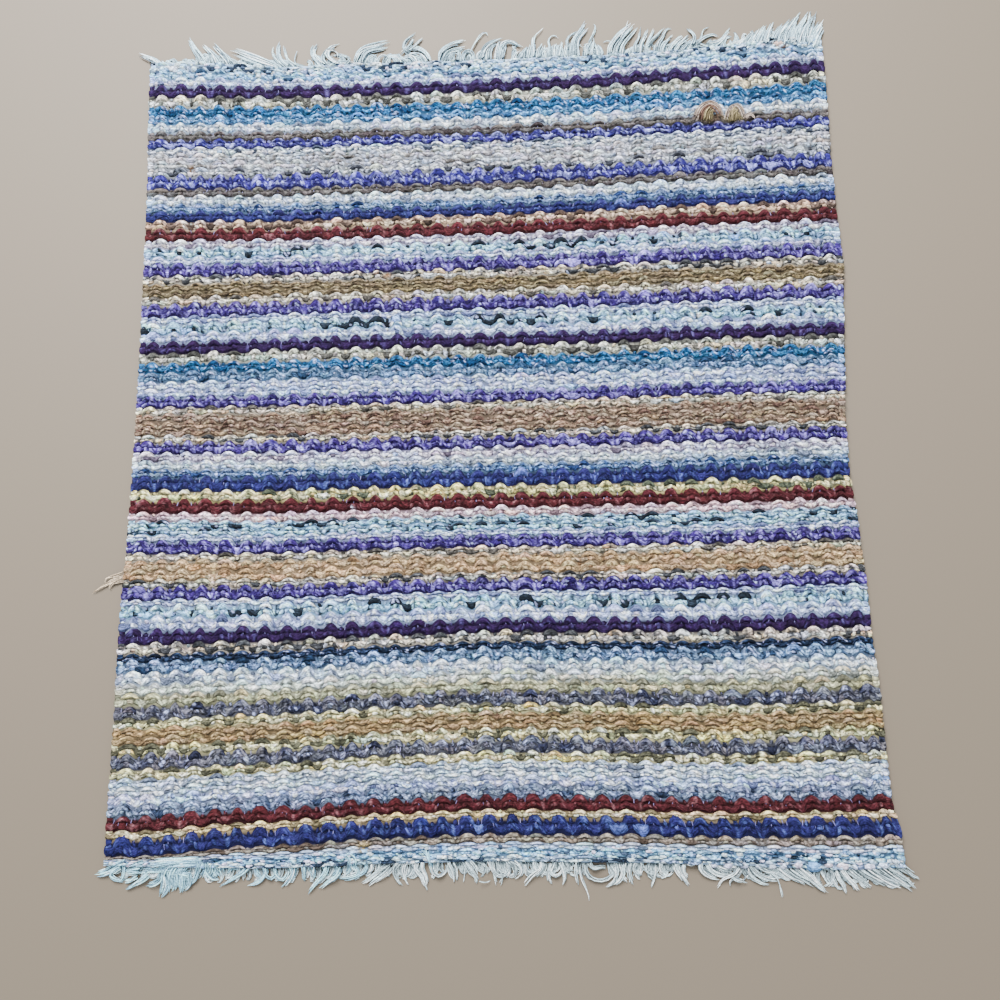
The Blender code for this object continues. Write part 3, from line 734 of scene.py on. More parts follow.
def between(knots, rows, at):
    """Values at many places, each straight between its two rows of values, one row a knot."""
    k = np.clip(np.searchsorted(knots, at, side="right") - 1, 0, len(knots) - 2)
    low = np.take_along_axis(rows, k[None], 0)[0]
    high = np.take_along_axis(rows, k[None] + 1, 0)[0]
    return low + (high - low) * (at - knots[k]) / (knots[k + 1] - knots[k])


def column(table, n):
    return [row[n] for row in table]


def side(along, right):
    return eased(column(SIDES, 0), column(SIDES, 2 if right else 1), along)


def end(across, far):
    return eased(column(ENDS, 0), column(ENDS, 2 if far else 1), across)


NEAR_END = float(end(0.0, False))
FAR_END = float(end(0.0, True))


def row_along(across, nominal):
    """Where a row of weft that is straight in the middle lies at these places across."""
    across, nominal = np.broadcast_arrays(np.asarray(across, float), np.asarray(nominal, float))
    bows = BOW[::-1]
    knots = np.array([NEAR_END] + column(bows, 0) + [FAR_END])
    rows = [end(across, False)]
    rows += [along + eased(BOW_ACROSS, bow, across) for along, bow in bows]
    rows += [end(across, True)]
    rows[1] = np.maximum(rows[1], rows[0] + LEAST_EDGE)
    return between(knots, np.stack(rows), nominal)


def swell(across, along):
    return sum(
        rise * np.exp(-((across - x) ** 2 + (along - y) ** 2) / reach**2)
        for x, y, reach, rise in SWELLS
    )


def drift(across, along):
    """How far the warp has shifted to the right here."""
    shifts = DRIFT[::-1]
    knots = np.array(column(shifts, 0), float)
    rows = np.stack([eased(DRIFT_ACROSS, shift, across) for _, shift in shifts])
    return between(knots, rows, np.clip(along, knots[0], knots[-1]))


def end_across(number, along):
    """Where a warp end, or a place between two, lies across the cloth."""
    number, along = np.broadcast_arrays(np.asarray(number, float), np.asarray(along, float))
    left, right = side(along, False), side(along, True)
    across = left + END_MARGIN + (right - left - 2 * END_MARGIN) * number / (END_COUNT - 1)
    held = np.clip(np.minimum(across - left, right - across) / SIDE_HOLD, 0, 1)
    return across + held * drift(across, along)


def linear(colour):
    """A colour from 0 to 255 in each channel, as light."""
    c = np.asarray(colour, float) / 255
    return np.where(c <= 0.04045, c / 12.92, ((c + 0.055) / 1.055) ** 2.4)


def vivid(colour):
    """The renderer's film greys strong colours a little, so the dyes are that much stronger."""
    grey = colour.mean(-1, keepdims=True)
    return np.clip(grey + (colour - grey) * VIVID, *VIVID_RANGE)


def each(values):
    """One value for each float, turn or lump, to be spread over the grid of its points."""
    return np.asarray(values)[:, None, None]


def skin(along, across, lot):
    """Places on a yarn's skin in millimetres, along it and across, with a number for the yarn."""
    return np.stack(np.broadcast_arrays(along, across, lot), -1)


def lots(count, rng):
    """A number for each yarn, so that no two show the same place of the noise."""
    return each(rng.normal(0, LOT_APART, count))


def point_data(dye, run, grain):
    """What the yarn materials read at each point."""
    run = run.reshape(-1, 3)
    return {"dye": dye.reshape(-1, 3), "run": run, "grain": np.broadcast_to(np.ravel(grain), len(run))}


def add_mesh(name, points, faces, data, material):
    """A mesh piece from points in millimetres in the weaving's frame, with data on its points."""
    mesh = bpy.data.meshes.new(name)
    place = np.reshape(points, (-1, 3)).astype(float)
    place[:, :2] -= MIDDLE
    faces = np.asarray(faces, np.int32)
    mesh.vertices.add(len(place))
    mesh.vertices.foreach_set("co", (place * MM).astype(np.float32).ravel())
    mesh.loops.add(faces.size)
    mesh.loops.foreach_set("vertex_index", faces.ravel())
    mesh.polygons.add(len(faces))
    starts = np.arange(0, faces.size, faces.shape[1], dtype=np.int32)
    mesh.polygons.foreach_set("loop_start", starts)
    mesh.update(calc_edges=True)
    mesh.polygons.foreach_set("use_smooth", np.ones(len(faces), dtype=bool))
    for label, values in data.items():
        values = np.asarray(values, np.float32).reshape(len(place), -1)
        kind, field = ("FLOAT", "value") if values.shape[1] == 1 else ("FLOAT_VECTOR", "vector")
        layer = mesh.attributes.new(label, kind, "POINT")
        layer.data.foreach_set(field, values.ravel())
    mesh.materials.append(material)
    piece = bpy.data.objects.new(name, mesh)
    bpy.context.scene.collection.objects.link(piece)
    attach(piece, "root")
    return piece


def lattice(rows, columns, count=1):
    """The quads of equal grids of points that follow one another."""
    a = (np.arange(rows - 1)[:, None] * columns + np.arange(columns - 1)[None]).ravel()
    one = np.stack([a, a + 1, a + columns + 1, a + columns], 1)
    return (one[None] + each(np.arange(count) * rows * columns)).reshape(-1, 4)


def make_plan():
    """The rounds as arrays: far side, depth of one pick, and what the yarn is."""
    names = column(ROUNDS, 0)
    depths = np.array(column(ROUNDS, 1), float)
    depths *= (FAR_END - NEAR_END) / depths.sum()
    plan = {
        "name": np.array(names),
        "top": FAR_END - np.concatenate([[0], np.cumsum(depths)[:-1]]),
        "pick": depths / PICKS,
    }
    for k, part in enumerate(YARN_PARTS):
        plan[part] = np.array([YARNS[name][k] for name in names], float)
    for habit, (usual, others) in HABITS.items():
        plan[habit] = np.array([others.get(name, usual) for name in names])
    return plan


def inside_ends(nominal, margin):
    return np.clip(nominal, NEAR_END + margin, FAR_END - margin)


def runs_along(row, pick, across, seed):
    """How light or warm the rag is at these places: it changes slowly along each row."""
    cells = int(2 * HALF_WIDTH / RUN_LONG) + 3
    values = np.random.default_rng(seed).normal(0, 1, (len(ROUNDS), PICKS, cells))
    place = (across + HALF_WIDTH) / RUN_LONG
    k = place.astype(int)
    t = place - k
    return values[row, pick, k] * (1 - t) + values[row, pick, k + 1] * t


def fleck_share(plan, row, run, flecked, shape, rng):
    """How much of its fleck is in the rag at each point: whole floats, specks and single points of it."""
    n, steps, _ = shape
    odds = plan["dark_floats"][row] * flecked
    in_run = (odds > 0) & (run[:, steps // 2] > 1.75 - 6 * odds)
    dark = in_run | (rng.random(n) < 0.35 * odds)
    specks = each(plan["specks"][row])
    speck = rng.random((n, steps, 1)) < specks
    single = rng.random(shape) < 1.3 * specks
    share = np.where(each(dark), rng.uniform(*FLECK_FLOAT, shape), 0.0)
    share = np.maximum(share, speck * rng.uniform(*FLECK_SPECK, (n, steps, 1)))
    return np.maximum(share, single * rng.uniform(*FLECK_POINT, shape))[..., None]


def tone_share(plan, row, run, shape, rng):
    """How light the rag is at each point: by the float, its steps, its strands and its run."""
    n, steps, wide = shape
    grids = {"float": (n, 1, 1), "step": (n, steps, 1), "strand": (n, 1, wide), "point": shape}
    loose = 0
    for part, grid in grids.items():
        loose = loose + TONE_PARTS[part] * rng.normal(0, 1, grid)
    loose = loose + TONE_PARTS["run"] * run[..., None]
    return np.exp(each(plan["spread"][row]) * loose)[..., None]


def tint_share(plan, row, warm_run, pink_run, main, share, rng):
    """How warm and how pink the rag is: pale rags show it most, and the fleck doesn't show it."""
    warm = WARM_VARIES * rng.normal(0, 1, (len(row), 1)) + plan["wander"][row][:, None] * warm_run
    pink = PINK_VARIES * rng.normal(0, 1, (len(row), 1)) + PINK_RUN * pink_run
    tint = warm[..., None, None] * WARMER + pink[..., None, None] * PINKER
    return np.exp(tint * (0.15 + 1.1 * main.mean(-1, keepdims=True) / 255) * (1 - share))


def marked(colour, across, along):
    """These colours with the marks and single rags over them."""
    for x, y, reach, tall, mark in SPOTS:
        near = np.exp(-((((across - x) / reach) ** 2 + ((along - y) / tall) ** 2) ** 2))[..., None]
        colour = colour * (1 - near) + linear(mark) * near
    return colour


def yarn_data(plan, row, pick, across, along, crown, run, rng, flecked=1.0):
    """Colours for floats of these rounds, on these grids, and the run of the fibres."""
    shape = across.shape
    middle = across[:, :, shape[2] // 2]
    light, warm, dark, pink = (runs_along(row[:, None], pick, middle, seed) for seed in RUN_SEEDS)
    share = fleck_share(plan, row, dark, flecked, shape, rng)
    tone = tone_share(plan, row, light, shape, rng)
    main, second = (each(plan[part][row]) for part in ("main", "second"))
    tint = tint_share(plan, row, warm, pink, main, share, rng)
    colour = linear(main * (1 - share) + second * share) * tone * tint
    pale = rng.random((*shape, 1)) < each(plan["pale"][row])[..., None]
    pale = pale * rng.uniform(*PALE_POINT, (*shape, 1))
    colour = marked(colour * (1 - pale) + linear(PALE) * pale, across, along)
    colour = DYE_LIGHT * vivid(np.clip(colour, *DYE_RANGE))
    # painted shade: the dye darkens from the crown of a float or turn towards its rims
    shade = RIM_SHADE + (1 - RIM_SHADE) * np.broadcast_to(crown, shape) ** 1.3
    return point_data(colour * shade[..., None], run, np.broadcast_to(each(plan["grain"][row]), shape))


def make_floats(plan, kind, rng):
    """All the floats of one kind: arched strips of weft over one, two or three ends."""
    name, middle, reach, depth_left, depth_middle, depth_right, steps, rise, breadth, light, flecked = kind
    peaks = np.arange(FIRST_PEAK - REPEAT, END_COUNT + REPEAT, REPEAT)
    row, peak = (a.ravel() for a in np.meshgrid(np.arange(len(ROUNDS)), peaks, indexing="ij"))
    inside = (peak + middle > -0.8) & (peak + middle < END_COUNT - 0.2)
    row, peak = row[inside], peak[inside]
    n = len(row)

    def vary(part, centre=1.0):
        return each(rng.normal(centre, FLOAT_VARIES[part], n))

    s = np.linspace(-1, 1, steps)[None, :, None]
    v = np.array(FLOAT_ACROSS)[None, None, :]
    bend = each(rng.uniform(*FLOAT_BENDS, n))
    number = each(peak) + middle + vary("middle", 0.0) + s * reach * vary("reach") + 0 * v
    number = np.clip(number, -0.75, END_COUNT - 0.25)
    sag = (depth_left + depth_right) / 2 - depth_middle
    lean = (depth_right - depth_left) / 2 + vary("lean", 0.0)
    depth = depth_middle + lean * s + sag * np.abs(s) ** bend
    pick_number = int(depth_middle)
    depth = depth + (pick_number + 1 - depth) * each(plan["calm"][row])
    depth = depth + each(rng.normal(0, 1.0, n)) * each(plan["uneven"][row])
    pick = each(plan["pick"][row])
    wide = breadth * pick * vary("breadth") * (1 - FLOAT_TAPER * np.abs(s) ** 1.8)
    nominal = inside_ends(each(plan["top"][row]) - (depth - 0.5) * pick - v * wide, FLOAT_MARGIN)
    across = end_across(number, nominal)
    along = row_along(across, nominal)
    crown = np.sqrt(np.clip(1 - np.abs(s) ** 2.6, 0, 1)) * np.sqrt(1 - v * v)
    crease = 1 + FLOAT_VARIES["crease"] * rng.normal(0, 1, across.shape)
    high = CORE_TOP - RIM_DROP + swell(across, along) + (rise + RIM_DROP) * vary("rise") * crown * crease
    points = np.stack([across, along, high], -1)
    run = skin(s * reach * END_STEP, v * wide, lots(n, rng))
    data = yarn_data(plan, row, pick_number, across, along, crown, run, rng, flecked)
    # painted light and shade: floats that stand out are lighter, sunken ones darker
    data["dye"] *= light
    faces = lattice(steps, len(FLOAT_ACROSS), n)
    return add_mesh(f"weave_{name}", points, faces, data, WEFT)


def make_warp_points(plan, rng):
    """The pale warp where it comes up between the floats of the dark rounds."""
    shown = np.flatnonzero(np.isin(plan["name"], WARP_SHOWS))
    row, number = (a.ravel() for a in np.meshgrid(shown, np.arange(END_COUNT), indexing="ij"))
    kept = rng.random(len(row)) < np.array(WARP_SHARES)[(number - FIRST_PEAK) % REPEAT]
    row, number = row[kept], number[kept]
    gap = np.array(WARP_GAPS)[(number - FIRST_PEAK) % REPEAT]
    pick = each(plan["pick"][row])
    s = np.array([-1.0, 0.0, 1.0])[None, :, None]
    v = np.array([-1.0, 0.0, 1.0])[None, None, :]
    lean = each(rng.normal(0, 0.12, len(row)))
    nominal = each(plan["top"][row]) - (each(gap) - 0.5) * pick
    nominal = inside_ends(nominal + s * (0.55 * pick + 0.35) + 0 * v, WARP_MARGIN)
    across = end_across(each(number) + lean * s, nominal) + v * WARP_WIDE / 2
    along = row_along(across, nominal)
    crown = np.sqrt(1 - 0.96 * v * v) * (1 - 0.5 * s * s)
    high = CORE_TOP - RIM_DROP + swell(across, along) + (WARP_RISE + RIM_DROP) * crown
    points = np.stack([across, along, high], -1)
    tinted = (1 - WARP_TINTED) * np.array(WARP_COLOUR) + WARP_TINTED * plan["main"][row]
    dye = (DYE_LIGHT * linear(tinted) * rng.uniform(0.5, 1.2, (len(row), 1)))[:, None]
    dye = np.broadcast_to(dye, (len(row), s.size * v.size, 3))
    data = point_data(dye, skin(s, v, lots(len(row), rng)), COTTON_GRAIN)
    return add_mesh("warp_points", points, lattice(3, 3, len(row)), data, COTTON)


def make_turns(plan, right, rng):
    """Where the weft turns back at one side."""
    way = 1 if right else -1
    inward, height = np.array(TURN_PATH).T
    v = np.array(TURN_ACROSS)[None, None, :]
    rim = np.abs(v) == 1
    row = np.repeat(np.arange(len(ROUNDS)), TURNS)
    turn = np.tile(np.arange(TURNS), len(ROUNDS))
    n = len(row)
    depth = PICKS * (turn + 0.5 + 0.15 * way) / TURNS
    pick = each(plan["pick"][row])
    wide = PICKS * pick / TURNS / 2 * each(rng.normal(*TURN_BREADTH, n))
    slip = np.linspace(0.9, -0.9, len(TURN_PATH))[None, :, None] * pick * 0.5
    nominal = each(plan["top"][row]) - (each(depth) - 0.5) * pick - v * wide + slip
    nominal = inside_ends(nominal, FLOAT_MARGIN)
    edge = side(nominal, right)
    along = row_along(edge, nominal)
    bulge = each(rng.normal(*TURN_BULGE, n))
    across = edge - way * (inward[None, :, None] + TURN_IN * rim - bulge)
    high = height[None, :, None] * np.where(rim, TURN_LOW, 1.0)
    high = np.broadcast_to(high, across.shape) + 0.5 * swell(across, along)
    points = np.stack([across, along, high], -1)
    run = skin(height[None, :, None] * 2, v * wide, lots(n, rng))
    # painted shade: the turns' rims are darker
    data = yarn_data(plan, row, 0, across, along, 1.0 - 0.6 * rim, run, rng)
    faces = lattice(len(TURN_PATH), len(TURN_ACROSS), n)
    faces = faces if right else faces[:, ::-1]
    name = "turns_right" if right else "turns_left"
    return add_mesh(name, points, faces, data, WEFT)


def resampled(at, knots, line):
    """The points of a line at other places along it."""
    return np.stack([np.interp(at, knots, part) for part in line.T], 1)


def smooth_path(points, steps):
    """Points of a smooth line through the given ones, evenly spread."""
    p = np.array(points, float)
    p = np.concatenate([[2 * p[0] - p[1]], p, [2 * p[-1] - p[-2]]])
    t = np.linspace(0, len(points) - 1, 8 * steps)
    k = np.clip(t.astype(int), 0, len(points) - 2)
    f = (t - k)[:, None]
    a, b, c, d = p[k], p[k + 1], p[k + 2], p[k + 3]
    line = 0.5 * (2 * b + (c - a) * f + (2 * a - 5 * b + 4 * c - d) * f**2 + (3 * b - a - 3 * c + d) * f**3)
    gone = np.concatenate([[0], np.cumsum(np.linalg.norm(np.diff(line[:, :2], axis=0), axis=1))])
    return resampled(np.linspace(0, gone[-1], steps), gone, line)


def short_locks(stretches, far, rng):
    """Locks of short yarns all along the edge, where the photo shows no floor."""
    def vary(part):
        return rng.uniform(*SHORT_VARIES[part])

    way = 1 if far else -1
    locks = []
    for left, right, lean, reach, back in stretches:
        count = max(2, round((right - left) / SHORT_APART))
        for k in range(count):
            x = left + (right - left) * (k + vary("place")) / count
            y = float(end(x, far)) - way * back * vary("back")
            push = lean * vary("lean") + rng.normal(0, SHORT_ASIDE)
            out = way * (back + reach * vary("reach"))
            bends = ((0.0, 0.0), (0.1, 0.55), (0.5, 1.0), (1.1, vary("hook")))
            path = [(x + aside * push, y + ahead * out) for aside, ahead in bends]
            locks.append((SHORT_YARNS, SHORT_WIDE, vary("tip"), path))
    return locks


def over_cloth(line):
    """1 where a line lies over the cloth, fading to 0 just outside its ends."""
    inside = np.minimum(end(line[:, 0], True) - line[:, 1], line[:, 1] - end(line[:, 0], False))
    return np.clip((inside + 2) / 3, 0, 1)


def lifted(line, share, over, t, rng):
    """A fringe yarn's line with its height in the pile: over the cloth, or not above it."""
    pile = np.interp(t, np.linspace(0, 1, len(PILE_HIGH)), PILE_HIGH)
    lift = YARN_THICK / 2 + 0.1 + share * pile + 0.25 * np.sin(5 * t + rng.uniform(0, 6))
    lift = np.maximum(lift, LEAST_LIFT * YARN_THICK)
    inside = over_cloth(line)
    if over:
        lift = np.maximum(lift, (CORE_TOP + OVER_LIFT[0] + OVER_LIFT[1] * share) * inside)
    else:
        lift = np.minimum(lift, CORE_TOP - UNDER_TOP + 9 * (1 - inside))
    return np.concatenate([line, lift[:, None]], 1)


def lock_lines(lock, shares, over, rng):
    """For each yarn of a lock: its middle line, how thick it is along the way, and how lit."""
    def vary(part):
        return rng.uniform(*YARN_VARIES[part])

    told_apart, root_wide, tip_wide, path = lock
    t = np.linspace(0, 1, YARN_STEPS)
    count = max(1, round(told_apart * YARN_MORE)) if told_apart > 2 else told_apart
    middle = smooth_path(path, YARN_STEPS)
    ahead = np.gradient(middle[:, :2], axis=0)
    sideways = np.stack([-ahead[:, 1], ahead[:, 0]], 1)
    sideways /= np.linalg.norm(sideways, axis=1)[:, None]
    wide = root_wide + (tip_wide - root_wide) * t
    turn = vary("turn")
    for n in range(count):
        share = rng.uniform(*shares)
        place = np.clip((n + 0.5) / count * 2 - 1 + rng.normal(0, 0.10), -1, 1)
        swing = place * np.cos(turn * t) + vary("swing") * np.sin(turn * t)
        wave = rng.normal(0, 0.4) * np.sin(vary("waves") * t + vary("wave_start"))
        swing = swing * wide * 0.5 + wave * (0.3 + t)
        begin = vary("begin")
        shorter = 1 - 0.16 * abs(place) - vary("shorter")
        line = resampled(begin + (shorter - begin) * t, t, middle)
        line[:, :2] += sideways * swing[:, None]
        if middle.shape[1] == 2:
            line = lifted(line, share, over, t, rng)
        else:
            line[:, 2] += rng.uniform(-0.2, 0.2) * wide + 0.2 * np.sin(7 * t + rng.uniform(0, 6))
        thick = np.interp(t, *YARN_TAPER) * YARN_THICK / 2 * vary("thick")
        # painted shade: yarns low in the pile are darker, most at their roots
        root_lit = 0.22 + 0.75 * share
        yield line, thick, root_lit + (1 - root_lit) * t**0.9


def make_yarns(name, groups, rng):
    """Locks of twisted yarn as round threads in one mesh, in groups of one dye each."""
    yarns, dyes = [], []
    for locks, shares, over, main_and_second in groups:
        found = [yarn for lock in locks for yarn in lock_lines(lock, shares, over, rng)]
        yarns += found
        dyes += [linear(main_and_second)] * len(found)
    lines, thicks, lit = (np.array(part) for part in zip(*yarns))
    main, second = np.array(dyes).transpose(1, 0, 2)
    n = len(lines)
    ahead = np.gradient(lines, axis=1)
    ahead /= np.linalg.norm(ahead, axis=2)[..., None]
    across = np.stack([-ahead[..., 1], ahead[..., 0], 0 * ahead[..., 0]], -1)
    across /= np.maximum(np.linalg.norm(across, axis=2)[..., None], 1e-6)
    upward = np.cross(ahead, across)
    angle = np.linspace(0, 2 * np.pi, YARN_SIDES + 1)[None, None, :, None]
    ring = across[:, :, None] * np.cos(angle) + upward[:, :, None] * np.sin(angle)
    points = lines[:, :, None] + ring * thicks[:, :, None, None]
    gone = np.cumsum(np.linalg.norm(np.diff(lines, axis=1, prepend=lines[:, :1]), axis=2), axis=1)
    run = skin(gone[:, :, None], angle[..., 0] * YARN_THICK / 2, lots(n, rng))
    share = rng.normal(*COTTON_FLECK, (n, 1)) + rng.normal(0, ALONG_YARN, (n, YARN_STEPS))
    share = np.clip(share, 0, 1)[..., None]
    tone = rng.normal(*COTTON_TONE, (n, 1, 1)) + rng.normal(0, ALONG_YARN, (n, YARN_STEPS, 1))
    tone = np.exp(tone)
    dye = (main[:, None] * (1 - share) + second[:, None] * share) * tone * lit[..., None]
    # painted light and shade: each yarn is lighter on its upper side and darker underneath
    above = np.clip(0.5 + 0.5 * ring[..., 2:3], 0, 1)
    dye = np.clip(dye[:, :, None] * (0.05 + 1.02 * above**1.8), *DYE_RANGE)
    faces = lattice(YARN_STEPS, YARN_SIDES + 1, n)[:, ::-1]
    return add_mesh(name, points, faces, point_data(dye, run, COTTON_GRAIN), COTTON)


def make_far_fringe():
    rng = np.random.default_rng(3)
    groups = [
        (short_locks(FAR_SHORT, True, rng), UNDER, False, FAR_COTTON),
        (FAR_LOCKS, AMONG, False, FAR_COTTON),
        (FAR_OVER, AMONG, True, FAR_COTTON),
    ]
    yarns = make_yarns("fringe_far_yarns", groups, rng)
    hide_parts("fringe_far")
    return yarns


def in_left_part(lock):
    """Whether the path of this lock starts in the left part of the near end."""
    path = lock[3]
    return path[0][0] < LEFT_PART


def make_near_fringe():
    rng = np.random.default_rng(4)
    groups = [
        (short_locks(NEAR_SHORT, False, rng), UNDER, False, NEAR_COTTON),
        ([lock for lock in NEAR_LOCKS if not in_left_part(lock)], AMONG, False, NEAR_COTTON),
        ([lock for lock in NEAR_LOCKS if in_left_part(lock)], AMONG, False, LEFT_COTTON),
        (NEAR_OVER, AMONG, True, LEFT_COTTON),
    ]
    yarns = make_yarns("fringe_near_yarns", groups, rng)
    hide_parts("fringe_near")
    return yarns


def make_weft_end(rng):
    groups = [(TAIL_YARNS, AMONG, False, TAIL_DYE)]
    yarns = make_yarns("tail_yarns", groups, rng)
    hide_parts("weft_tail")
    return yarns


def make_weft_loop(rng):
    groups = [
        (LOOP_PALE, AMONG, False, PALE_DYE),
        (LOOP_BROWN, AMONG, False, BROWN_DYE),
        (LOOP_OLIVE, AMONG, False, OLIVE_DYE),
    ]
    yarns = make_yarns("loop_yarns", groups, rng)
    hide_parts("weft_tuft")
    return yarns


def scattered_lumps(rng):
    """Small lumps of rag all over the two headings."""
    lumps = []
    for far, way in ((True, -1), (False, 1)):
        for x in np.arange(*SCATTER_ACROSS, SCATTER_STEP):
            across = x + rng.normal(0, SCATTER_ASIDE)
            nominal = (FAR_END if far else NEAR_END) + way * rng.uniform(*SCATTER_DEPTH)
            along = float(row_along(across, nominal))
            colour = SCATTER_COLOURS[rng.integers(len(SCATTER_COLOURS))]
            sizes = [rng.uniform(*size) for size in SCATTER_SIZES]
            lumps.append((across, along, *sizes, colour))
    return lumps


def make_lumps(rng):
    """Lumps of weft that stand out along the near end and in the headings."""
    rows = LUMPS + scattered_lumps(rng)
    across, along, wide, deep, rise = (each(column(rows, k)) for k in range(5))
    n = len(rows)
    s = np.linspace(-1, 1, LUMP_STEPS)[None, :, None]
    v = np.linspace(-1, 1, LUMP_COLUMNS)[None, None, :]
    x = across + s * wide / 2 + 0 * v
    y = along + v * deep / 2 * np.sqrt(1 - 0.75 * s * s)
    crown = np.sqrt(np.clip(1 - np.abs(s) ** 2.4, 0, 1)) * np.sqrt(1 - v * v)
    crease = 1 + LUMP_CREASE * rng.normal(0, 1, x.shape)
    high = CORE_TOP - LUMP_ROOT + (rise + LUMP_ROOT) * crown * crease
    points = np.stack([x, y, high], -1)
    # painted shade: a lump's dye darkens from its crown towards its rim
    tone = np.exp(LUMP_TONE * rng.normal(0, 1, (*x.shape, 1))) * (0.45 + 0.55 * crown[..., None])
    dye = np.clip(DYE_LIGHT * each(linear(column(rows, 5))) * tone, *DYE_RANGE)
    data = point_data(dye, skin(s * wide / 2, v * deep / 2, lots(n, rng)), LUMP_GRAIN)
    faces = lattice(LUMP_STEPS, LUMP_COLUMNS, n)[:, ::-1]
    return add_mesh("weave_lumps", points, faces, data, WEFT)


def make_cloth(plan):
    """The cloth under the floats: a thin closed slab, with the stripes in shade."""
    rows = [FAR_END - CORE_MARGIN]
    for top, pick in zip(plan["top"], plan["pick"]):
        rows += [top - pick * k for k in range(1, PICKS + 1)]
    rows[-1] = NEAR_END + CORE_MARGIN
    which = np.clip((np.arange(len(rows)) - 1) // PICKS, 0, len(ROUNDS) - 1)
    number = np.linspace(-0.5, END_COUNT - 0.5, CORE_COLUMNS)
    nominal, number = np.meshgrid(np.array(rows), number, indexing="ij")
    across = end_across(number, nominal)
    along = row_along(across, nominal)
    tall, wide = nominal.shape
    upper = np.stack([across, along, CORE_TOP + swell(across, along)], -1).reshape(-1, 3)
    points = np.concatenate([upper, upper * np.array([1, 1, 0])])
    n = tall * wide
    grid = np.arange(n).reshape(tall, wide)
    rim = np.concatenate([grid[0, :], grid[1:, -1], grid[-1, -2::-1], grid[-2:0:-1, 0]])
    walls = np.stack([rim, np.roll(rim, -1), np.roll(rim, -1) + n, rim + n], 1)
    faces = np.concatenate([lattice(tall, wide)[:, ::-1], lattice(tall, wide) + n, walls])
    shade = np.full((len(rows), 1), CORE_SHADE)
    shade[[0, -1]] = END_SHADE
    dye = DYE_LIGHT * vivid(np.repeat(linear(plan["main"][which]) * shade, wide, axis=0))
    dye = np.concatenate([dye, dye / CORE_SHADE * BACK_SHADE])
    data = point_data(dye, points * 0.3, CORE_GRAIN)
    cloth = add_mesh("rug_cloth", points, faces, data, WEFT)
    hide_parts("rug_body")
    return cloth


class Shader:
    """A node material put together one line a node."""

    def __init__(self, name):
        self.material = bpy.data.materials.new(name)
        self.material.use_nodes = True
        self.nodes = self.material.node_tree.nodes
        self.links = self.material.node_tree.links
        self.base = self.nodes["Principled BSDF"]

    def put(self, kind, wires, **settings):
        """A new node, with a value or a link for each of these sockets."""
        node = self.nodes.new(f"ShaderNode{kind}")
        for key, value in settings.items():
            setattr(node, key, value)
        self.wire(node, wires)
        return node

    def wire(self, node, wires):
        for socket, source in wires.items():
            if isinstance(source, bpy.types.NodeSocket):
                self.links.new(source, node.inputs[socket])
            else:
                node.inputs[socket].default_value = source

    def math(self, operation, *values):
        return self.put("Math", dict(enumerate(values)), operation=operation).outputs[0]

    def attribute(self, name, output):
        return self.put("Attribute", {}, attribute_name=name).outputs[output]


def noise_shade(sh, place, stretch, low, high):
    """A noise on stretched places as a factor on the dye, and the noise itself."""
    stretched = sh.put("VectorMath", {0: place, 1: stretch}, operation="MULTIPLY")
    noise = sh.put("TexNoise", {"Vector": stretched.outputs[0], "Scale": 1.0, "Detail": 2.0})
    ends = {"From Min": 0.36, "From Max": 0.64, "To Min": low, "To Max": high}
    shade = sh.put("MapRange", {"Value": noise.outputs["Fac"], **ends})
    return shade.outputs["Result"], noise.outputs["Fac"]


def yarn_material(name, ply, depth, roughness):
    """Rag or cotton yarn: the dye on the points, with plies, strands and specks of fibre."""
    sh = Shader(name)
    dye = sh.attribute("dye", "Vector")
    run = sh.attribute("run", "Vector")
    grain = sh.attribute("grain", "Fac")
    darkest = sh.math("SUBTRACT", 1.0, grain)
    lightest = sh.math("MULTIPLY_ADD", grain, 0.8, 1.0)
    turned = sh.put("VectorRotate", {"Vector": run, "Angle": 0.8}, rotation_type="Z_AXIS").outputs["Vector"]
    low, high = 1 - depth, 1 + 0.6 * depth
    plies, groove = noise_shade(sh, turned, (0.25 / ply, 1.1 / ply, 1.0), low, high)
    strands, line = noise_shade(sh, run, (0.2 / ply, 1.6 / ply, 1.3), low, high)
    specks, _ = noise_shade(sh, run, (0.55 / ply, 0.95 / ply, 1.7), darkest, lightest)
    shade = sh.math("MULTIPLY", sh.math("MULTIPLY", plies, strands), specks)
    tinted = sh.put("VectorMath", {0: dye, "Scale": shade}, operation="SCALE")
    relief = sh.math("ADD", groove, line)
    bump = sh.put("Bump", {"Height": relief, "Strength": 0.8, "Distance": 0.0007})
    skin_sockets = {
        "Base Color": tinted.outputs["Vector"],
        "Roughness": roughness,
        "Specular IOR Level": 0.08,
        "Normal": bump.outputs["Normal"],
    }
    sh.wire(sh.base, skin_sockets)
    return sh.material


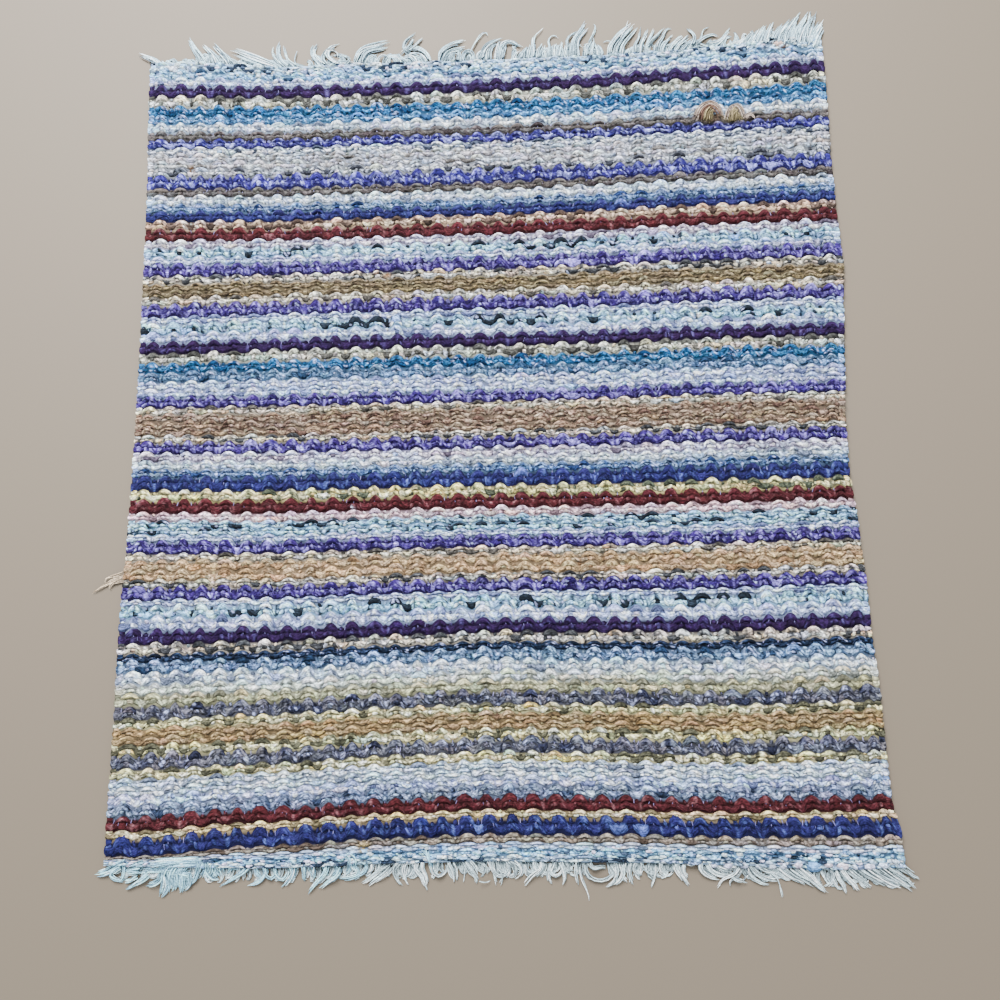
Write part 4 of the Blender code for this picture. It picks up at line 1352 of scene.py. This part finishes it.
WEFT = yarn_material("rag_weft", 1.3, 0.26, 0.95)
COTTON = yarn_material("cotton_warp", 0.8, 0.22, 0.92)


def make_rug():
    """The cloth with all that is woven into it, as one laid sheet."""
    plan = make_plan()
    rng = np.random.default_rng(11)
    cloth = make_cloth(plan)
    weave = [make_floats(plan, kind, rng) for kind in FLOATS]
    weave.append(make_warp_points(plan, rng))
    weave += [make_turns(plan, right, rng) for right in (False, True)]
    weave.append(make_lumps(rng))
    weave += [make_far_fringe(), make_near_fringe()]
    rng = np.random.default_rng(5)
    weave += [make_weft_end(rng), make_weft_loop(rng)]


def make_floor():
    floor = bpy.data.objects.new("floor", bpy.data.meshes.new("floor"))
    floor.data.from_pydata([(-4, -4, 0), (4, -4, 0), (4, 4, 0), (-4, 4, 0)], [], [(0, 1, 2, 3)])
    bpy.context.scene.collection.objects.link(floor)
    sh = Shader("pale_floor")
    sh.wire(sh.base, {"Base Color": (*linear(FLOOR_COLOUR), 1), "Roughness": 0.7})
    floor.data.materials.append(sh.material)


def make_light():
    """A soft sky and one broad lamp, like the window in the photograph."""
    world = bpy.data.worlds.new("studio")
    bpy.context.scene.world = world
    world.use_nodes = True
    sky = world.node_tree.nodes["Background"].inputs
    sky["Color"].default_value = (*SKY_COLOUR, 1)
    sky["Strength"].default_value = SKY_STRENGTH
    lamp = bpy.data.lights.new("window", "AREA")
    lamp.energy = LAMP_POWER
    lamp.size = LAMP_SIZE
    window = bpy.data.objects.new("window", lamp)
    window.location = LAMP_PLACE
    window.rotation_euler = (-window.location).to_track_quat("-Z", "Y").to_euler()
    bpy.context.scene.collection.objects.link(window)


def make_camera():
    lens = bpy.data.cameras.new("camera")
    lens.lens = LENS
    lens.sensor_width = SENSOR
    camera = bpy.data.objects.new("camera", lens)
    place = np.array(CAMERA_PLACE) - (*MIDDLE, 0)
    turn = Euler(np.radians(CAMERA_ANGLES), "XYZ").to_matrix().to_4x4()
    camera.matrix_world = Matrix.Translation(place * MM) @ turn
    bpy.context.scene.collection.objects.link(camera)
    bpy.context.scene.camera = camera


make_camera()
make_rug()
make_floor()
make_light()
